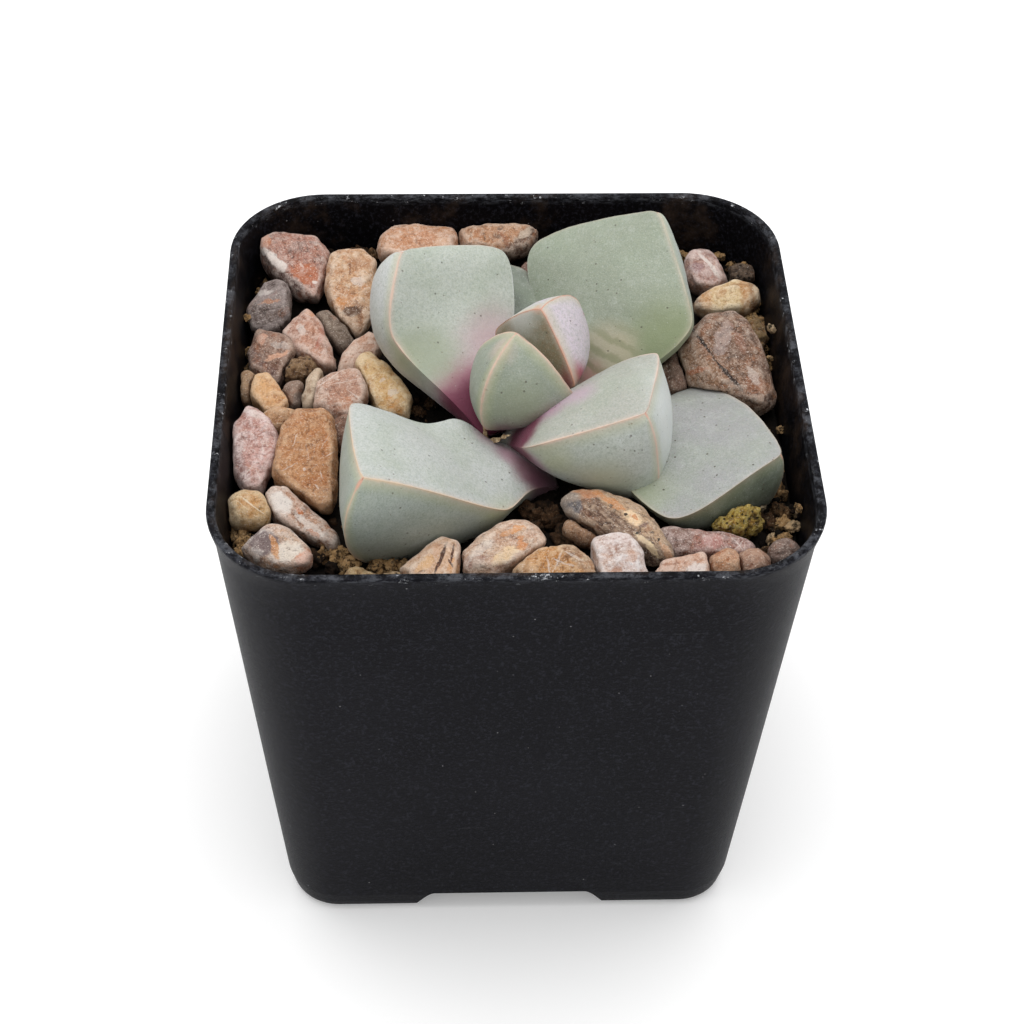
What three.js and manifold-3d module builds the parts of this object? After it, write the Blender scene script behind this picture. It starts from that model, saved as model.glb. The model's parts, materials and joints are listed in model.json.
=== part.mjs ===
// Potted lapidaria: a square nursery pot with soil, a gravel top dressing and a succulent of eight
// keeled leaves. Millimetres, +Z up, origin at the bottom centre of the pot, -Y is the front.
import * as THREE from 'three';
import { mergeVertices } from 'three/addons/utils/BufferGeometryUtils.js';
import Module from 'manifold-3d';

const wasm = await Module();
wasm.setup();

// ---- pot ----
const POT_HEIGHT = 63;
// outer width and plan corner radius at each height, from the foot to the rim
const POT_PROFILE = [
  { z: 0, width: 50.7, corner: 5.2 },
  { z: 0.8, width: 52.2, corner: 5.8 },
  { z: 3.2, width: 53.2, corner: 6.2 },
  { z: 22, width: 56.3, corner: 7.4 },
  { z: 44, width: 59.9, corner: 9 },
  { z: 60, width: 62.7, corner: 10.4 },
  { z: POT_HEIGHT, width: 64, corner: 10.8 },
];
const WALL = 1;
// heights at which the inside of the pot is drawn
const INSIDE_HEIGHTS = [3.2, 22, 44, 60];
const CORNER_STEPS = 5;
// a shallow channel crosses the underside each way and leaves four corner feet
const CHANNEL = { topHalf: 9.6, footHalf: 12.1, height: 3.4, footCurve: 1.4, topCurve: 1.1, topEdge: 0.6 };
const CHANNEL_REACH = 70;
const BELOW_FOOT = -2;
const ABOVE_POT = 30;
const DRAIN_HOLE = { radius: 2.6, reach: 16, sides: 10, tall: 12 };

// ---- soil and stem ----
const GAP = 0.3;
const SOIL_LEVEL = { back: 55.2, front: 56 };
const SOIL_HALF = 29;
const SOIL_CELLS = 18;
const SOIL_OVERLAP = 3;
const SOIL_BLOCK_FLOOR = 0.5;
const SOIL_BUMP = 0.3;
const GRAINS = {
  count: 46, spread: 0.97, minRadius: 0.7, maxRadius: 1.3, sunk: 0.25, turn: 3, squash: [1, 0.85, 0.8],
};
const STEM = { x: 3.4, y: -2.4, radius: 4.4, foot: 46, top: 59, sides: 12 };
// share of the stem's radius at each height
const STEM_OUTLINE = [
  [0.45, STEM.foot],
  [0.7, STEM.foot + 4],
  [0.85, STEM.top - 4],
  [1, STEM.top - 2],
  [0.7, STEM.top - 0.6],
];

// ---- leaves ----
// A leaf runs from its base along an axis turned by azimuth and raised by rise, and is rolled about
// it (degrees). Its margins are widest, at left and right, at a share of the length (widestLeft,
// widestRight), where they lift out of the leaf's plane. Beyond that they close to the apex by a
// power (closeLeft, closeRight). The keel hangs below, deepest at keelAt, and rises to the apex by
// keelPower; chin pushes it past the apex. neck is the half width and neckDepth the depth at the
// base, neckEnd the share of the length where the blade begins to widen. sag arches the axis, and
// sideBulge, where given, rounds the sides beside the keel more than SIDE_BULGE does.
const LEAF_ROWS = 12;
const FACE_STEPS = 5;
const UPPER_BULGE = 0.06;
const SIDE_BULGE = 0.13;
const NECK_BULGE = 0.21;
const LEAVES = [
  { name: 'leaf_centre_front', base: [3.7, 0, 59.4], azimuth: 232, rise: 66, roll: 0, length: 13.8,
    left: 6.6, right: 5.8, widestLeft: 0.5, widestRight: 0.5, closeLeft: 1.7, closeRight: 1.7,
    liftLeft: -1, liftRight: -1.7, depth: 9, keelAt: 0.5, keelPower: 0.6, chin: 1.7,
    neck: 3.4, neckDepth: 3, neckEnd: 0.05, sag: 0.2, colour: 0xa9b5a6 },
  { name: 'leaf_centre_back', base: [3.1, 0, 59.8], azimuth: 48.5, rise: 91, roll: -1.5, length: 11.9,
    left: 5.6, right: 6.2, widestLeft: 0.48, widestRight: 0.47, closeLeft: 1.55, closeRight: 1.3,
    liftLeft: 0.2, liftRight: 0.6, depth: 8, keelAt: 0.5, keelPower: 0.55, chin: 0.6,
    neck: 3.4, neckDepth: 2.5, neckEnd: 0.05, sag: -0.9, colour: 0xb9adb6 },
  { name: 'leaf_upper_left', base: [-0.5, -4.2, 59], azimuth: 130.4, rise: 36.8, roll: 10, length: 22.1,
    left: 5, right: 12.2, widestLeft: 0.64, widestRight: 0.74, closeLeft: 1.65, closeRight: 1.7,
    liftLeft: -2.8, liftRight: 1.1, depth: 10.7, keelAt: 0.6, keelPower: 0.6, chin: 3.1,
    neck: 4.3, neckDepth: 3.9, neckEnd: 0.05, sag: 0.45, colour: 0xb2bcae },
  { name: 'leaf_lower_right', base: [-0.4, -5.2, 57.6], azimuth: -34.9, rise: 35.6, roll: 7, length: 20.8,
    left: 9.9, right: 6.2, widestLeft: 0.8, widestRight: 0.47, closeLeft: 1.3, closeRight: 1.35,
    liftLeft: -0.3, liftRight: 1, depth: 12.2, keelAt: 0.74, keelPower: 0.68, chin: -3,
    neck: 2.4, neckDepth: 3.2, neckEnd: 0.05, sag: -1.5, sideBulge: 0.17, colour: 0xb0b9ac },
  { name: 'leaf_upper_right', base: [7.2, -0.4, 56.9], azimuth: 59.8, rise: 39.4, roll: -11.5, length: 24.5,
    left: 13.6, right: 9.4, widestLeft: 0.64, widestRight: 0.55, closeLeft: 1.7, closeRight: 1.12,
    liftLeft: 0.6, liftRight: -0.2, depth: 10.2, keelAt: 0.62, keelPower: 0.63, chin: 0,
    neck: 4, neckDepth: 3.5, neckEnd: 0.07, sag: 0.25, colour: 0xaab7a5 },
  { name: 'leaf_lower_left', base: [2.4, -8.7, 56.4], azimuth: 220.2, rise: 28.9, roll: -1.8, length: 27.2,
    left: 5.8, right: 10.7, widestLeft: 0.36, widestRight: 0.75, closeLeft: 1.5, closeRight: 1.15,
    liftLeft: -2.1, liftRight: 1.2, depth: 12.5, keelAt: 0.58, keelPower: 0.42, chin: 0.9,
    neck: 4.1, neckDepth: 3.9, neckEnd: 0.15, sag: -0.9, colour: 0xa8b3a6 },
  { name: 'leaf_outer_right', base: [8, -5.9, 57.1], azimuth: -23, rise: 15.9, roll: -8.6, length: 22.9,
    left: 12.7, right: 10, widestLeft: 0.38, widestRight: 0.59, closeLeft: 1.8, closeRight: 1.75,
    liftLeft: 0, liftRight: -3, depth: 9.2, keelAt: 0.67, keelPower: 0.57, chin: 0,
    neck: 4.2, neckDepth: 3.5, neckEnd: 0.04, sag: -0.5, colour: 0xa5aba6 },
  { name: 'leaf_outer_back', base: [2.3, 0.2, 57.7], azimuth: 111, rise: 18.2, roll: -2.7, length: 19.7,
    left: 8, right: 6, widestLeft: 0.6, widestRight: 0.81, closeLeft: 1.7, closeRight: 1.95,
    liftLeft: 0, liftRight: 0, depth: 6.3, keelAt: 0.63, keelPower: 0.6, chin: 0,
    neck: 4, neckDepth: 3.3, neckEnd: 0.05, sag: -0.4, colour: 0x9ea59f },
];

// ---- gravel ----
// A broken stone has a widest outline and a smaller upper face. Both lie tipped forward by STONE_TIP
// and are given by their corners (mm to the right and back of its middle, at). The outline's middle
// is `rise` above the soil and the upper face `over` above the outline. Shoulder, belly and foot are
// the outline drawn in at a share of the way up to the upper face or down to the soil.
const STONE_TIP = 15;
const STONE_LIFT = 0.5;
const SHOULDER = { size: 0.93, up: 0.55 };
const BELLY = { size: 0.95, down: 0.4 };
const STONE_FOOT = 0.7;
const STONES = [
  { name: 'orange_big', at: [-22.4, -10.7], rise: 3.6, over: 1.8, colour: 0xa97a56,
    outline: [[-1, 6.5], [0.5, 6.5], [2, 6.5], [3, 5.5], [3.5, 2.5], [3.5, -5], [3, -6.5], [2, -6.5],
      [-0.5, -4.5], [-3.5, -2], [-3.5, -1], [-2.5, 4]],
    upper: [[-0.5, 5], [2, 5], [2.5, 3.5], [3, 0], [3, -6], [2, -6.5], [0, -5], [-3, -2], [-1.5, 3]] },
  { name: 'brown_large', at: [24.1, 4.7], rise: 3.8, over: 2.2, colour: 0x8d6d5c,
    outline: [[-3.5, 4.5], [-1.5, 6.5], [0, 6.5], [1.5, 7], [3, 5.5], [4.5, 2.5], [5, -1], [5.5, -4.5],
      [5, -6], [3.5, -7], [1, -5], [-3, -4], [-5.5, -1], [-5.5, 1]],
    upper: [[-2.5, 4], [1, 5], [2.5, 3], [3.5, -0.5], [4, -5.5], [3.5, -6.5], [0.5, -4.5], [-3, -2],
      [-4, 1]] },
  { name: 'striped_big', at: [10.7, -21.1], rise: 3.2, over: 1.6, colour: 0x96795f,
    outline: [[-6, 3.5], [-5, 4.5], [-2, 4.5], [1, 3.5], [2.5, 2.5], [4, 0.5], [5.5, -2.5],
      [5.5, -3.5], [4.5, -4.5], [2.5, -4.5], [-1, -2], [-4, -0.5], [-5.5, 2]],
    upper: [[-4.5, 3], [-2, 3], [2, 1], [4.5, -2.5], [5, -4], [3.5, -4], [0.5, -0.5], [-2.5, 1.5]] },
  { name: 'tan_tall', at: [-18.2, 18.2], rise: 3.2, over: 1.6, colour: 0xb58b66,
    outline: [[-2.5, 5.5], [-1.5, 6.5], [1.5, 6.5], [3, 5], [3, -0.5], [2.5, -4], [1.5, -6], [1, -6.5],
      [-0.5, -4.5], [-2.5, -0.5], [-3, 1.5]],
    upper: [[-1.5, 4.5], [1, 4.5], [2, 1], [1.5, -2], [0.5, -4], [-1, -4], [-2, -1], [-2, 2.5]] },
  { name: 'mauve_tall', at: [-27.8, -8.5], rise: 3.1, over: 1.7, colour: 0xa98478,
    outline: [[-1, 5.5], [-0.5, 5.5], [0.5, 5], [2, 3], [3, 1], [2, -1.5], [1.5, -4], [1, -5.5],
      [-1, -5.5], [-2, -3.5], [-3, 0], [-2.5, 3]],
    upper: [[-0.5, 4], [1, 3.5], [1.5, 1.5], [1.5, -1.5], [1, -5], [-0.5, -5.5], [-1, -3.5], [-2, 0.5]] },
  { name: 'redbrown', at: [-24.8, 23.4], rise: 3.4, over: 1.8, colour: 0x91675b,
    outline: [[-4.5, 4], [-4, 5], [-1, 4.5], [2.5, 4], [4, 2.5], [4.5, 1.5], [4, -2], [3, -5],
      [0.5, -4.5], [-2, -2], [-4, 1.5]],
    upper: [[-4, 3], [3, 2], [3.5, -0.5], [3, -4], [2.5, -5.5], [-1, -2], [-3, 0]] },
  { name: 'cream_long', at: [-14.2, 2.5], rise: 2.8, over: 1.4, colour: 0xc2a277,
    outline: [[-3.5, 2], [-2.5, 4], [-1.5, 4.5], [0, 3], [2, 0.5], [3.5, -2], [3, -4.5], [1, -4.5],
      [-1.5, -3], [-2, -1]],
    upper: [[-2, 3], [-1.5, 3], [1, 0], [2.5, -2.5], [1, -3], [-1, -1], [-2.5, 1.5]] },
  { name: 'pink_angular', at: [-23, 10.3], rise: 2.9, over: 1.6, colour: 0x9c7767,
    outline: [[0, 4.5], [0.5, 4], [2, 1.5], [3, -1.5], [3.5, -4], [2.5, -4.5], [0.5, -4], [-2, -1.5],
      [-3, 0.5], [-2, 2]],
    upper: [[0, 2.5], [2, -0.5], [2.5, -4], [1.5, -4.5], [0, -2.5], [-0.5, -0.5]] },
  { name: 'orange_back', at: [-10.3, 28.2], rise: 3, over: 1.6, colour: 0xb5835f,
    outline: [[-5, -1], [-4.5, 1], [-3.5, 2], [-2.5, 3], [-0.5, 3], [2.5, 2.5], [4.5, 2], [5, 0.5],
      [4.5, -2], [1.5, -3], [-2.5, -3], [-4.5, -2.5]],
    upper: [[-3.5, 0], [-1.5, 1], [2.5, 0.5], [4, -0.5], [3, -2.5], [-2, -2.5], [-4, -2]] },
  { name: 'brown_back', at: [-0.6, 29.5], rise: 3, over: 1.6, colour: 0x9b7358,
    outline: [[-5, 0.5], [-4, 1.5], [-2, 2], [0, 3], [3, 2.5], [4.5, 1.5], [5, 0.5], [3.5, -2],
      [1, -3], [-3, -2.5], [-4.5, -1.5]],
    upper: [[-3, 0], [0, 1.5], [3.5, 0.5], [1.5, -0.5], [-0.5, -2], [-3.5, -2]] },
  { name: 'tan_front', at: [-1.4, -23.7], rise: 2.8, over: 1.5, colour: 0xae8a6c,
    outline: [[-0.5, 3], [1, 3.5], [2.5, 3.5], [3.5, 2.5], [4.5, 1], [4, 0], [1, -2], [-1, -3.5],
      [-3.5, -3.5], [-4.5, -2.5], [-4.5, -0.5], [-3, 1]],
    upper: [[0, 2], [2.5, 2], [4, 0], [2.5, -1], [0, -2.5], [-3, -2.5], [-3.5, -1.5], [-2, 0.5]] },
  { name: 'veined', at: [-18.8, 0.4], rise: 3, over: 1.5, colour: 0x9e755d,
    outline: [[-3, 1.5], [-1.5, 2.5], [1, 3.5], [2, 3.5], [3, 2.5], [3, 0], [2.5, -2], [0.5, -3.5],
      [-1, -3], [-3, -1.5]],
    upper: [[-1, 1.5], [2, 2], [2.5, 1], [2.5, -1], [0, -2], [-2, -1.5], [-2, 0]] },
  { name: 'orange_front', at: [3.8, -26.2], rise: 2.6, over: 1.4, colour: 0xae815a,
    outline: [[-4.5, -0.5], [-3, 1], [-1.5, 2], [1, 2.5], [2, 2.5], [3.5, 1], [4.5, -1], [3.5, -2.5],
      [-3, -2.5]],
    upper: [[-2.5, -0.5], [-0.5, 1], [1, 1], [3, -0.5], [3, -2], [-2.5, -2]] },
  { name: 'mauve_long', at: [19.9, -22.7], rise: 2.2, over: 1.2, colour: 0x957066,
    outline: [[-5, 2], [-4, 2], [-2.5, 1.5], [-0.5, 1], [3, 1], [4.5, 0.5], [5, -0.5], [4.5, -1.5],
      [3, -2], [-0.5, -2], [-3.5, -1.5], [-5, 0]],
    upper: [[-4, 1], [-1, 0], [3, 0], [4, -1], [3, -1.5], [-1, -1], [-3.5, 0]] },
  { name: 'diagonal_left', at: [-22.4, -18.5], rise: 2.3, over: 1.2, colour: 0xa98971,
    outline: [[-4, 3], [-3.5, 4], [-2, 4], [-0.5, 2.5], [2, 0], [4, -2], [4, -3.5], [3.5, -4],
      [1, -2.5], [-1.5, -1], [-3.5, 0.5], [-4, 2]],
    upper: [[-3, 2.5], [-2, 2.5], [0, 1], [3.5, -3], [3.5, -3.5], [0, -2], [-3, 0.5]] },
  { name: 'cream_block', at: [25.8, 17.9], rise: 2.6, over: 1.3, colour: 0xbc9f77,
    outline: [[-4, -0.5], [-3, 0.5], [1, 2.5], [3.5, 2], [4, 0.5], [4, -0.5], [2.5, -2], [-0.5, -2.5],
      [-3, -2.5], [-4, -1.5]],
    upper: [[-3, -0.5], [1, 1], [3.5, 0.5], [2.5, -1], [1, -1.5], [0, -2], [-2, -2.5], [-3, -2]] },
  { name: 'grey_front', at: [-24.5, -23], rise: 2.6, over: 1.4, colour: 0x93796c,
    outline: [[-4, 0], [-2.5, 1.5], [-1.5, 2.5], [-0.5, 3], [1, 2], [3, 0], [3.5, -1], [3.5, -2],
      [1.5, -3], [-0.5, -3], [-2.5, -2]],
    upper: [[-2, 1], [0, 1.5], [2, -0.5], [3, -1.5], [2.5, -2.5], [0, -2.5], [-2.5, -1]] },
  { name: 'pink_right', at: [23.8, 22.9], rise: 2.8, over: 1.5, colour: 0x9d7767,
    outline: [[-2.5, 1.5], [-2, 2.5], [-0.5, 3], [0.5, 2.5], [1.5, 1.5], [2.5, -1.5], [1.5, -2.5],
      [-0.5, -3], [-1.5, -2.5], [-2.5, -0.5]],
    upper: [[-2, 1], [-1, 1.5], [1, 0], [1.5, -1.5], [0.5, -3], [-1.5, -2.5]] },
  { name: 'cracked_peach', at: [-9.1, -25.5], rise: 2.7, over: 1.4, colour: 0xb98f73,
    outline: [[-3.5, -1], [-0.5, 1], [0.5, 2.5], [1.5, 3], [3, 2.5], [3.5, 1.5], [3, -1.5], [2.5, -3],
      [-2, -3]],
    upper: [[-2, -1.5], [0.5, 1], [2, 1.5], [3, 0.5], [2.5, -2], [-1, -2.5]] },
  { name: 'orangetan', at: [-26.7, 1.1], rise: 2.5, over: 1.3, colour: 0xb78a62,
    outline: [[-2.5, 1.5], [-2, 2.5], [-0.5, 3], [0, 2.5], [1, 0.5], [2.5, -0.5], [2, -1.5], [1, -3],
      [-0.5, -2.5], [-2, -0.5]],
    upper: [[-1.5, 1], [0, 1.5], [1, -0.5], [2, -1.5], [0, -3], [-1.5, -1]] },
  { name: 'white_block', at: [10.3, -25.8], rise: 3, over: 1.5, colour: 0xbfa28f,
    outline: [[-3, 1.5], [-2.5, 2.5], [-1, 2.5], [1, 3.5], [1.5, 3], [2.5, 1.5], [3, -2], [2.5, -3.5],
      [-2, -3.5]],
    upper: [[-2.5, 1], [-1, 1], [0.5, 2], [1.5, 1.5], [2, -2.5], [-2, -2.5]] },
  { name: 'greypurple', at: [-27.5, 16.2], rise: 2.8, over: 1.5, colour: 0x7d6a66,
    outline: [[-2.5, -0.5], [-1.5, 1.5], [-0.5, 3.5], [1, 4], [2, 3.5], [2.5, 2.5], [2.5, -1.5],
      [1.5, -3], [-0.5, -4], [-2, -3]],
    upper: [[-0.5, 1], [1, 2], [2, 1.5], [2, 0], [0.5, -1], [-1, -0.5]] },
  { name: 'brownpink', at: [-26.5, 7], rise: 2.8, over: 1.6, colour: 0x8c6a5a,
    outline: [[-2.5, 2.5], [-2, 4], [0.5, 3.5], [2, 2.5], [2.5, 1], [2.5, -1.5], [1, -4], [-1, -2.5],
      [-2.5, -1.5], [-3, 1]],
    upper: [[-1.5, 2], [2, 1], [2.5, 0], [1, -1], [-0.5, 1]] },
  { name: 'grey_slim', at: [-19.5, 12.5], rise: 2.2, over: 1.1, colour: 0x857469,
    outline: [[-2.5, 2.5], [-1.5, 3], [-1, 3], [1, 0.5], [2, -1.5], [1.5, -2.5], [0.5, -3], [-1, -1]],
    upper: [[-1.5, 1.5], [-0.5, 1.5], [1, -1.5], [0.5, -2.5], [-1, -0.5]] },
  { name: 'tan_corner', at: [16.8, -26.5], rise: 2.3, over: 1.2, colour: 0xae8468,
    outline: [[-3, -0.5], [-2, 1], [2, 2], [2.5, 2], [3, 0.5], [3, -1], [2, -2], [-2.5, -2]],
    upper: [[-2, -0.5], [1.5, 1], [2.5, 0.5], [2, -1.5], [-1.5, -1.5]] },
  { name: 'pinktan_small', at: [-16.8, 8.3], rise: 2.4, over: 1.2, colour: 0xb18a70,
    outline: [[-2.5, -1.5], [-2, 0], [-0.5, 2], [1, 3], [2, 2.5], [2.5, 0.5], [1.5, -1.5], [-1, -3],
      [-2.5, -3]],
    upper: [[-1, 0], [1, 1.5], [2, 0.5], [-1, -2], [-2, -2]] },
  { name: 'cream_small', at: [-21.9, 2.1], rise: 2.3, over: 1.2, colour: 0xb9a184,
    outline: [[-1.5, -0.5], [-1, 1], [0, 2.5], [0.5, 3], [1.5, 2], [1, -0.5], [0, -2.5], [-1, -2.5]],
    upper: [[0, 1], [0.5, 1.5], [0.5, -1], [-0.5, -2], [-0.5, -1]] },
];
// Each pebble: name, place of its centre on the soil (x, y), its length, width and height, the turn
// of its length (degrees), how far broken planes flatten it (0 round, 1 blocky) and its colour.
const PEBBLES = [
  ['dark_right', 18.3, 4.4, 5.7, 3.6, 4, -73, 0.5, 0x7f5b4f],
  ['yellow_grain', 23.1, -19.8, 5.4, 3.4, 4, 19, 0.9, 0xa39042],
  ['yellow_round', -28, -17.4, 4.8, 4.2, 4, 0, 0.1, 0xb3976c],
  ['orange_small', 21.5, -26, 3.6, 3.4, 3.5, 0, 0.3, 0xae8158],
  ['pink_corner', 24.2, -25.9, 3.7, 3, 3.5, 0, 0.3, 0xa47c65],
  ['grey_corner', 27.7, -23.8, 3.2, 2.8, 3, 25, 0.3, 0x8c7466],
  ['dark_small', -24.2, 1.7, 3.6, 2.6, 3, 71, 0.5, 0x5d4638],
  ['dark_back', 3.4, 22.6, 4.3, 3.2, 3.5, 0, 0.5, 0x5f4639],
  ['brown_slim', 7, -20.6, 4.5, 2.6, 3, -22, 0.3, 0x7d5b45],
  ['tan_behind', -7.4, 21.3, 8, 5, 4.6, 20, 0.5, 0xa57c5d],
  ['rose_behind', 9.5, 25.4, 8.6, 5.6, 5.2, 10, 0.6, 0x98705f],
  ['grey_behind', 17, 27, 6.4, 4.4, 4.4, -15, 0.5, 0x84736a],
  ['tan_under', 17.4, 13.6, 6, 4.2, 3.6, 40, 0.5, 0xa8825f],
  ['brown_wall', 28.4, 11.2, 4.6, 3, 3.4, 80, 0.4, 0x7c5d4c],
  ['cream_gap', -23.6, 5.7, 4.4, 3.2, 3.4, 20, 0.4, 0xb59878],
  ['rose_gap', -18, -5, 5, 3, 3.4, 100, 0.5, 0x93695b],
  ['tan_wall', -29.4, 2.8, 4.2, 2.8, 3.2, 90, 0.4, 0xa07a5a],
  ['brown_gap', -25.3, -2.7, 4.4, 2.8, 3.2, 10, 0.5, 0x85634f],
  ['tan_grit', -16.2, -27.4, 3.4, 3, 2.8, 15, 0.6, 0x9c7f5c],
  ['dark_grit', -12.9, -27.7, 3, 2.6, 2.6, 60, 0.6, 0x5a4636],
  ['pale_grit', 25.6, -15.8, 3.4, 2.6, 2.6, 60, 0.7, 0x8f7f5e],
  ['greybrown_wall', 28.2, 23.2, 3.4, 3, 3, 0, 0.6, 0x7b6a5c],
];
// How a pebble is shaped from a ball: the count of broken planes, their distance from its centre and
// how far a blocky pebble brings them in, the power of its rounding, its roughness and final growth.
const PEBBLE = {
  planes: 9, planeAt: 1.05, planeIn: 0.1, planeSpread: 0.28, round: 2.2, squarer: 1.3, rough: 0.06,
  growth: 1.06,
};

const COLOUR = { pot: 0x232428, soil: 0x4a3a2c, stem: 0x7a5a44 };
const ROUGHNESS = { pot: 0.45, soil: 1, stem: 0.9, leaf: 0.6, stone: 0.75 };

const SEED = 5107;
let state = SEED;
// repeatable random number from 0 to 1
function random() {
  state = (state * 1664525 + 1013904223) % 4294967296;
  return state / 4294967296;
}

const smooth = (x) => {
  const t = Math.min(1, Math.max(0, x));
  return t * t * (3 - 2 * t);
};
const radians = THREE.MathUtils.degToRad;
const SIDEWAYS = new THREE.Vector3(1, 0, 0);
// points closer than this are one corner
const WELD = 1e-4;

// ---- solids ----
function toSolid(geometry) {
  const bare = geometry.index ? geometry.clone() : geometry;
  bare.deleteAttribute('normal');
  bare.deleteAttribute('uv');
  const merged = mergeVertices(bare, WELD);
  return new wasm.Manifold(new wasm.Mesh({
    numProp: 3,
    vertProperties: new Float32Array(merged.attributes.position.array),
    triVerts: new Uint32Array(merged.index.array),
  }));
}

// the largest connected body of a solid, so that no loose scrap is kept
function largest(solid) {
  const bodies = solid.decompose();
  return bodies.reduce((best, body) => (body.volume() > best.volume() ? body : best));
}

function toMesh(name, solid, colour, roughness) {
  const mesh = solid.getMesh();
  const geometry = new THREE.BufferGeometry();
  geometry.setAttribute('position', new THREE.BufferAttribute(new Float32Array(mesh.vertProperties), 3));
  geometry.setIndex(Array.from(mesh.triVerts));
  geometry.computeVertexNormals();
  const material = new THREE.MeshStandardMaterial({ color: colour, roughness, metalness: 0 });
  const node = new THREE.Mesh(geometry, material);
  node.name = name;
  return node;
}

// closed skin through rings of equal length, with a fan to one point at each end
function loft(rings, first, last) {
  const count = rings[0].length;
  const points = [first, ...rings.flat(), last];
  const end = points.length - 1;
  const at = (row, k) => 1 + row * count + (k % count);
  const faces = [];
  for (let k = 0; k < count; k += 1) {
    faces.push(0, at(0, k + 1), at(0, k));
    for (let row = 0; row + 1 < rings.length; row += 1) {
      faces.push(at(row, k), at(row, k + 1), at(row + 1, k + 1));
      faces.push(at(row, k), at(row + 1, k + 1), at(row + 1, k));
    }
    faces.push(at(rings.length - 1, k), at(rings.length - 1, k + 1), end);
  }
  const geometry = new THREE.BufferGeometry();
  geometry.setAttribute('position', new THREE.Float32BufferAttribute(points.flatMap((p) => p.toArray()), 3));
  geometry.setIndex(faces);
  return geometry;
}

// the same skin pushed out along its vertex normals
function grown(geometry, distance) {
  const bigger = geometry.clone();
  bigger.computeVertexNormals();
  const { position, normal } = bigger.attributes;
  for (let i = 0; i < position.count; i += 1) {
    position.setXYZ(
      i,
      position.getX(i) + distance * normal.getX(i),
      position.getY(i) + distance * normal.getY(i),
      position.getZ(i) + distance * normal.getZ(i),
    );
  }
  return bigger;
}

// ---- pot ----
function roundedSquare(width, corner, z) {
  const ring = [];
  const centre = width / 2 - corner;
  for (let quarter = 0; quarter < 4; quarter += 1) {
    const turn = (quarter * Math.PI) / 2;
    const cx = centre * Math.SQRT2 * Math.cos(turn + Math.PI / 4);
    const cy = centre * Math.SQRT2 * Math.sin(turn + Math.PI / 4);
    for (let step = 0; step <= CORNER_STEPS; step += 1) {
      const angle = turn + (step / CORNER_STEPS) * (Math.PI / 2);
      ring.push(new THREE.Vector3(cx + corner * Math.cos(angle), cy + corner * Math.sin(angle), z));
    }
  }
  return ring;
}

function profileAt(z) {
  const above = POT_PROFILE.findIndex((row, i) => i > 0 && row.z >= z - 1e-9);
  const [low, high] = [POT_PROFILE[above - 1], POT_PROFILE[above]];
  const share = (z - low.z) / (high.z - low.z);
  return {
    z,
    width: THREE.MathUtils.lerp(low.width, high.width, share),
    corner: THREE.MathUtils.lerp(low.corner, high.corner, share),
  };
}

// solid of the pot's own taper, set in by inset, between two heights, and stretched to the top if open
function taperedSolid(inset, heights, topExtra = 0) {
  const rings = heights.map((z, i) => {
    const row = profileAt(z);
    const height = i === heights.length - 1 ? z + topExtra : z;
    return roundedSquare(row.width - 2 * inset, row.corner - inset, height);
  });
  const bottom = new THREE.Vector3(0, 0, rings[0][0].z);
  const top = new THREE.Vector3(0, 0, rings[rings.length - 1][0].z);
  return toSolid(loft(rings, bottom, top));
}

// prism of the underside channel's S-curved section, grown by thickness, along Y or turned along X
function channel(thickness, along) {
  const top = CHANNEL.topHalf + thickness;
  const foot = CHANNEL.footHalf + thickness;
  const height = CHANNEL.height + thickness;
  const footBend = foot - CHANNEL.footCurve;
  const topBend = top + CHANNEL.topCurve;
  const topEdge = top - CHANNEL.topEdge;
  const outline = new THREE.Shape();
  outline.moveTo(-foot, BELOW_FOOT);
  outline.lineTo(foot, BELOW_FOOT);
  outline.lineTo(foot, 0);
  outline.bezierCurveTo(footBend, 0, topBend, height, topEdge, height);
  outline.lineTo(-topEdge, height);
  outline.bezierCurveTo(-topBend, height, -footBend, 0, -foot, 0);
  outline.closePath();
  const extrusion = { depth: CHANNEL_REACH, bevelEnabled: false, curveSegments: 5 };
  const prism = new THREE.ExtrudeGeometry(outline, extrusion);
  prism.translate(0, 0, -CHANNEL_REACH / 2);
  prism.rotateX(Math.PI / 2);
  if (along === 'x') {
    prism.rotateZ(Math.PI / 2);
  }
  return toSolid(prism);
}

function drainHole(x, y) {
  const { radius, tall, sides } = DRAIN_HOLE;
  const plug = new THREE.CylinderGeometry(radius, radius, tall, sides);
  plug.rotateX(Math.PI / 2);
  plug.translate(x, y, CHANNEL.height);
  return toSolid(plug);
}

function potSolid() {
  const heights = POT_PROFILE.map((row) => row.z);
  const outer = taperedSolid(0, heights);
  let cavity = taperedSolid(WALL, [WALL, ...INSIDE_HEIGHTS, POT_HEIGHT], 1);
  cavity = cavity.subtract(channel(WALL, 'x')).subtract(channel(WALL, 'y'));
  let pot = outer.subtract(cavity).subtract(channel(0, 'x')).subtract(channel(0, 'y'));
  const reach = DRAIN_HOLE.reach;
  [[0, 0], [reach, 0], [-reach, 0], [0, reach], [0, -reach]].forEach(([x, y]) => {
    pot = pot.subtract(drainHole(x, y));
  });
  return pot;
}

// ---- leaves ----
function leafFrame(leaf) {
  const [azimuth, rise, roll] = [leaf.azimuth, leaf.rise, leaf.roll].map(radians);
  const axis = new THREE.Vector3(
    Math.cos(azimuth) * Math.cos(rise),
    Math.sin(azimuth) * Math.cos(rise),
    Math.sin(rise),
  );
  const left = new THREE.Vector3(-Math.sin(azimuth), Math.cos(azimuth), 0);
  const up = new THREE.Vector3().crossVectors(axis, left);
  left.applyAxisAngle(axis, roll);
  up.applyAxisAngle(axis, roll);
  return { origin: new THREE.Vector3(...leaf.base), axis, left, up };
}

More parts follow.
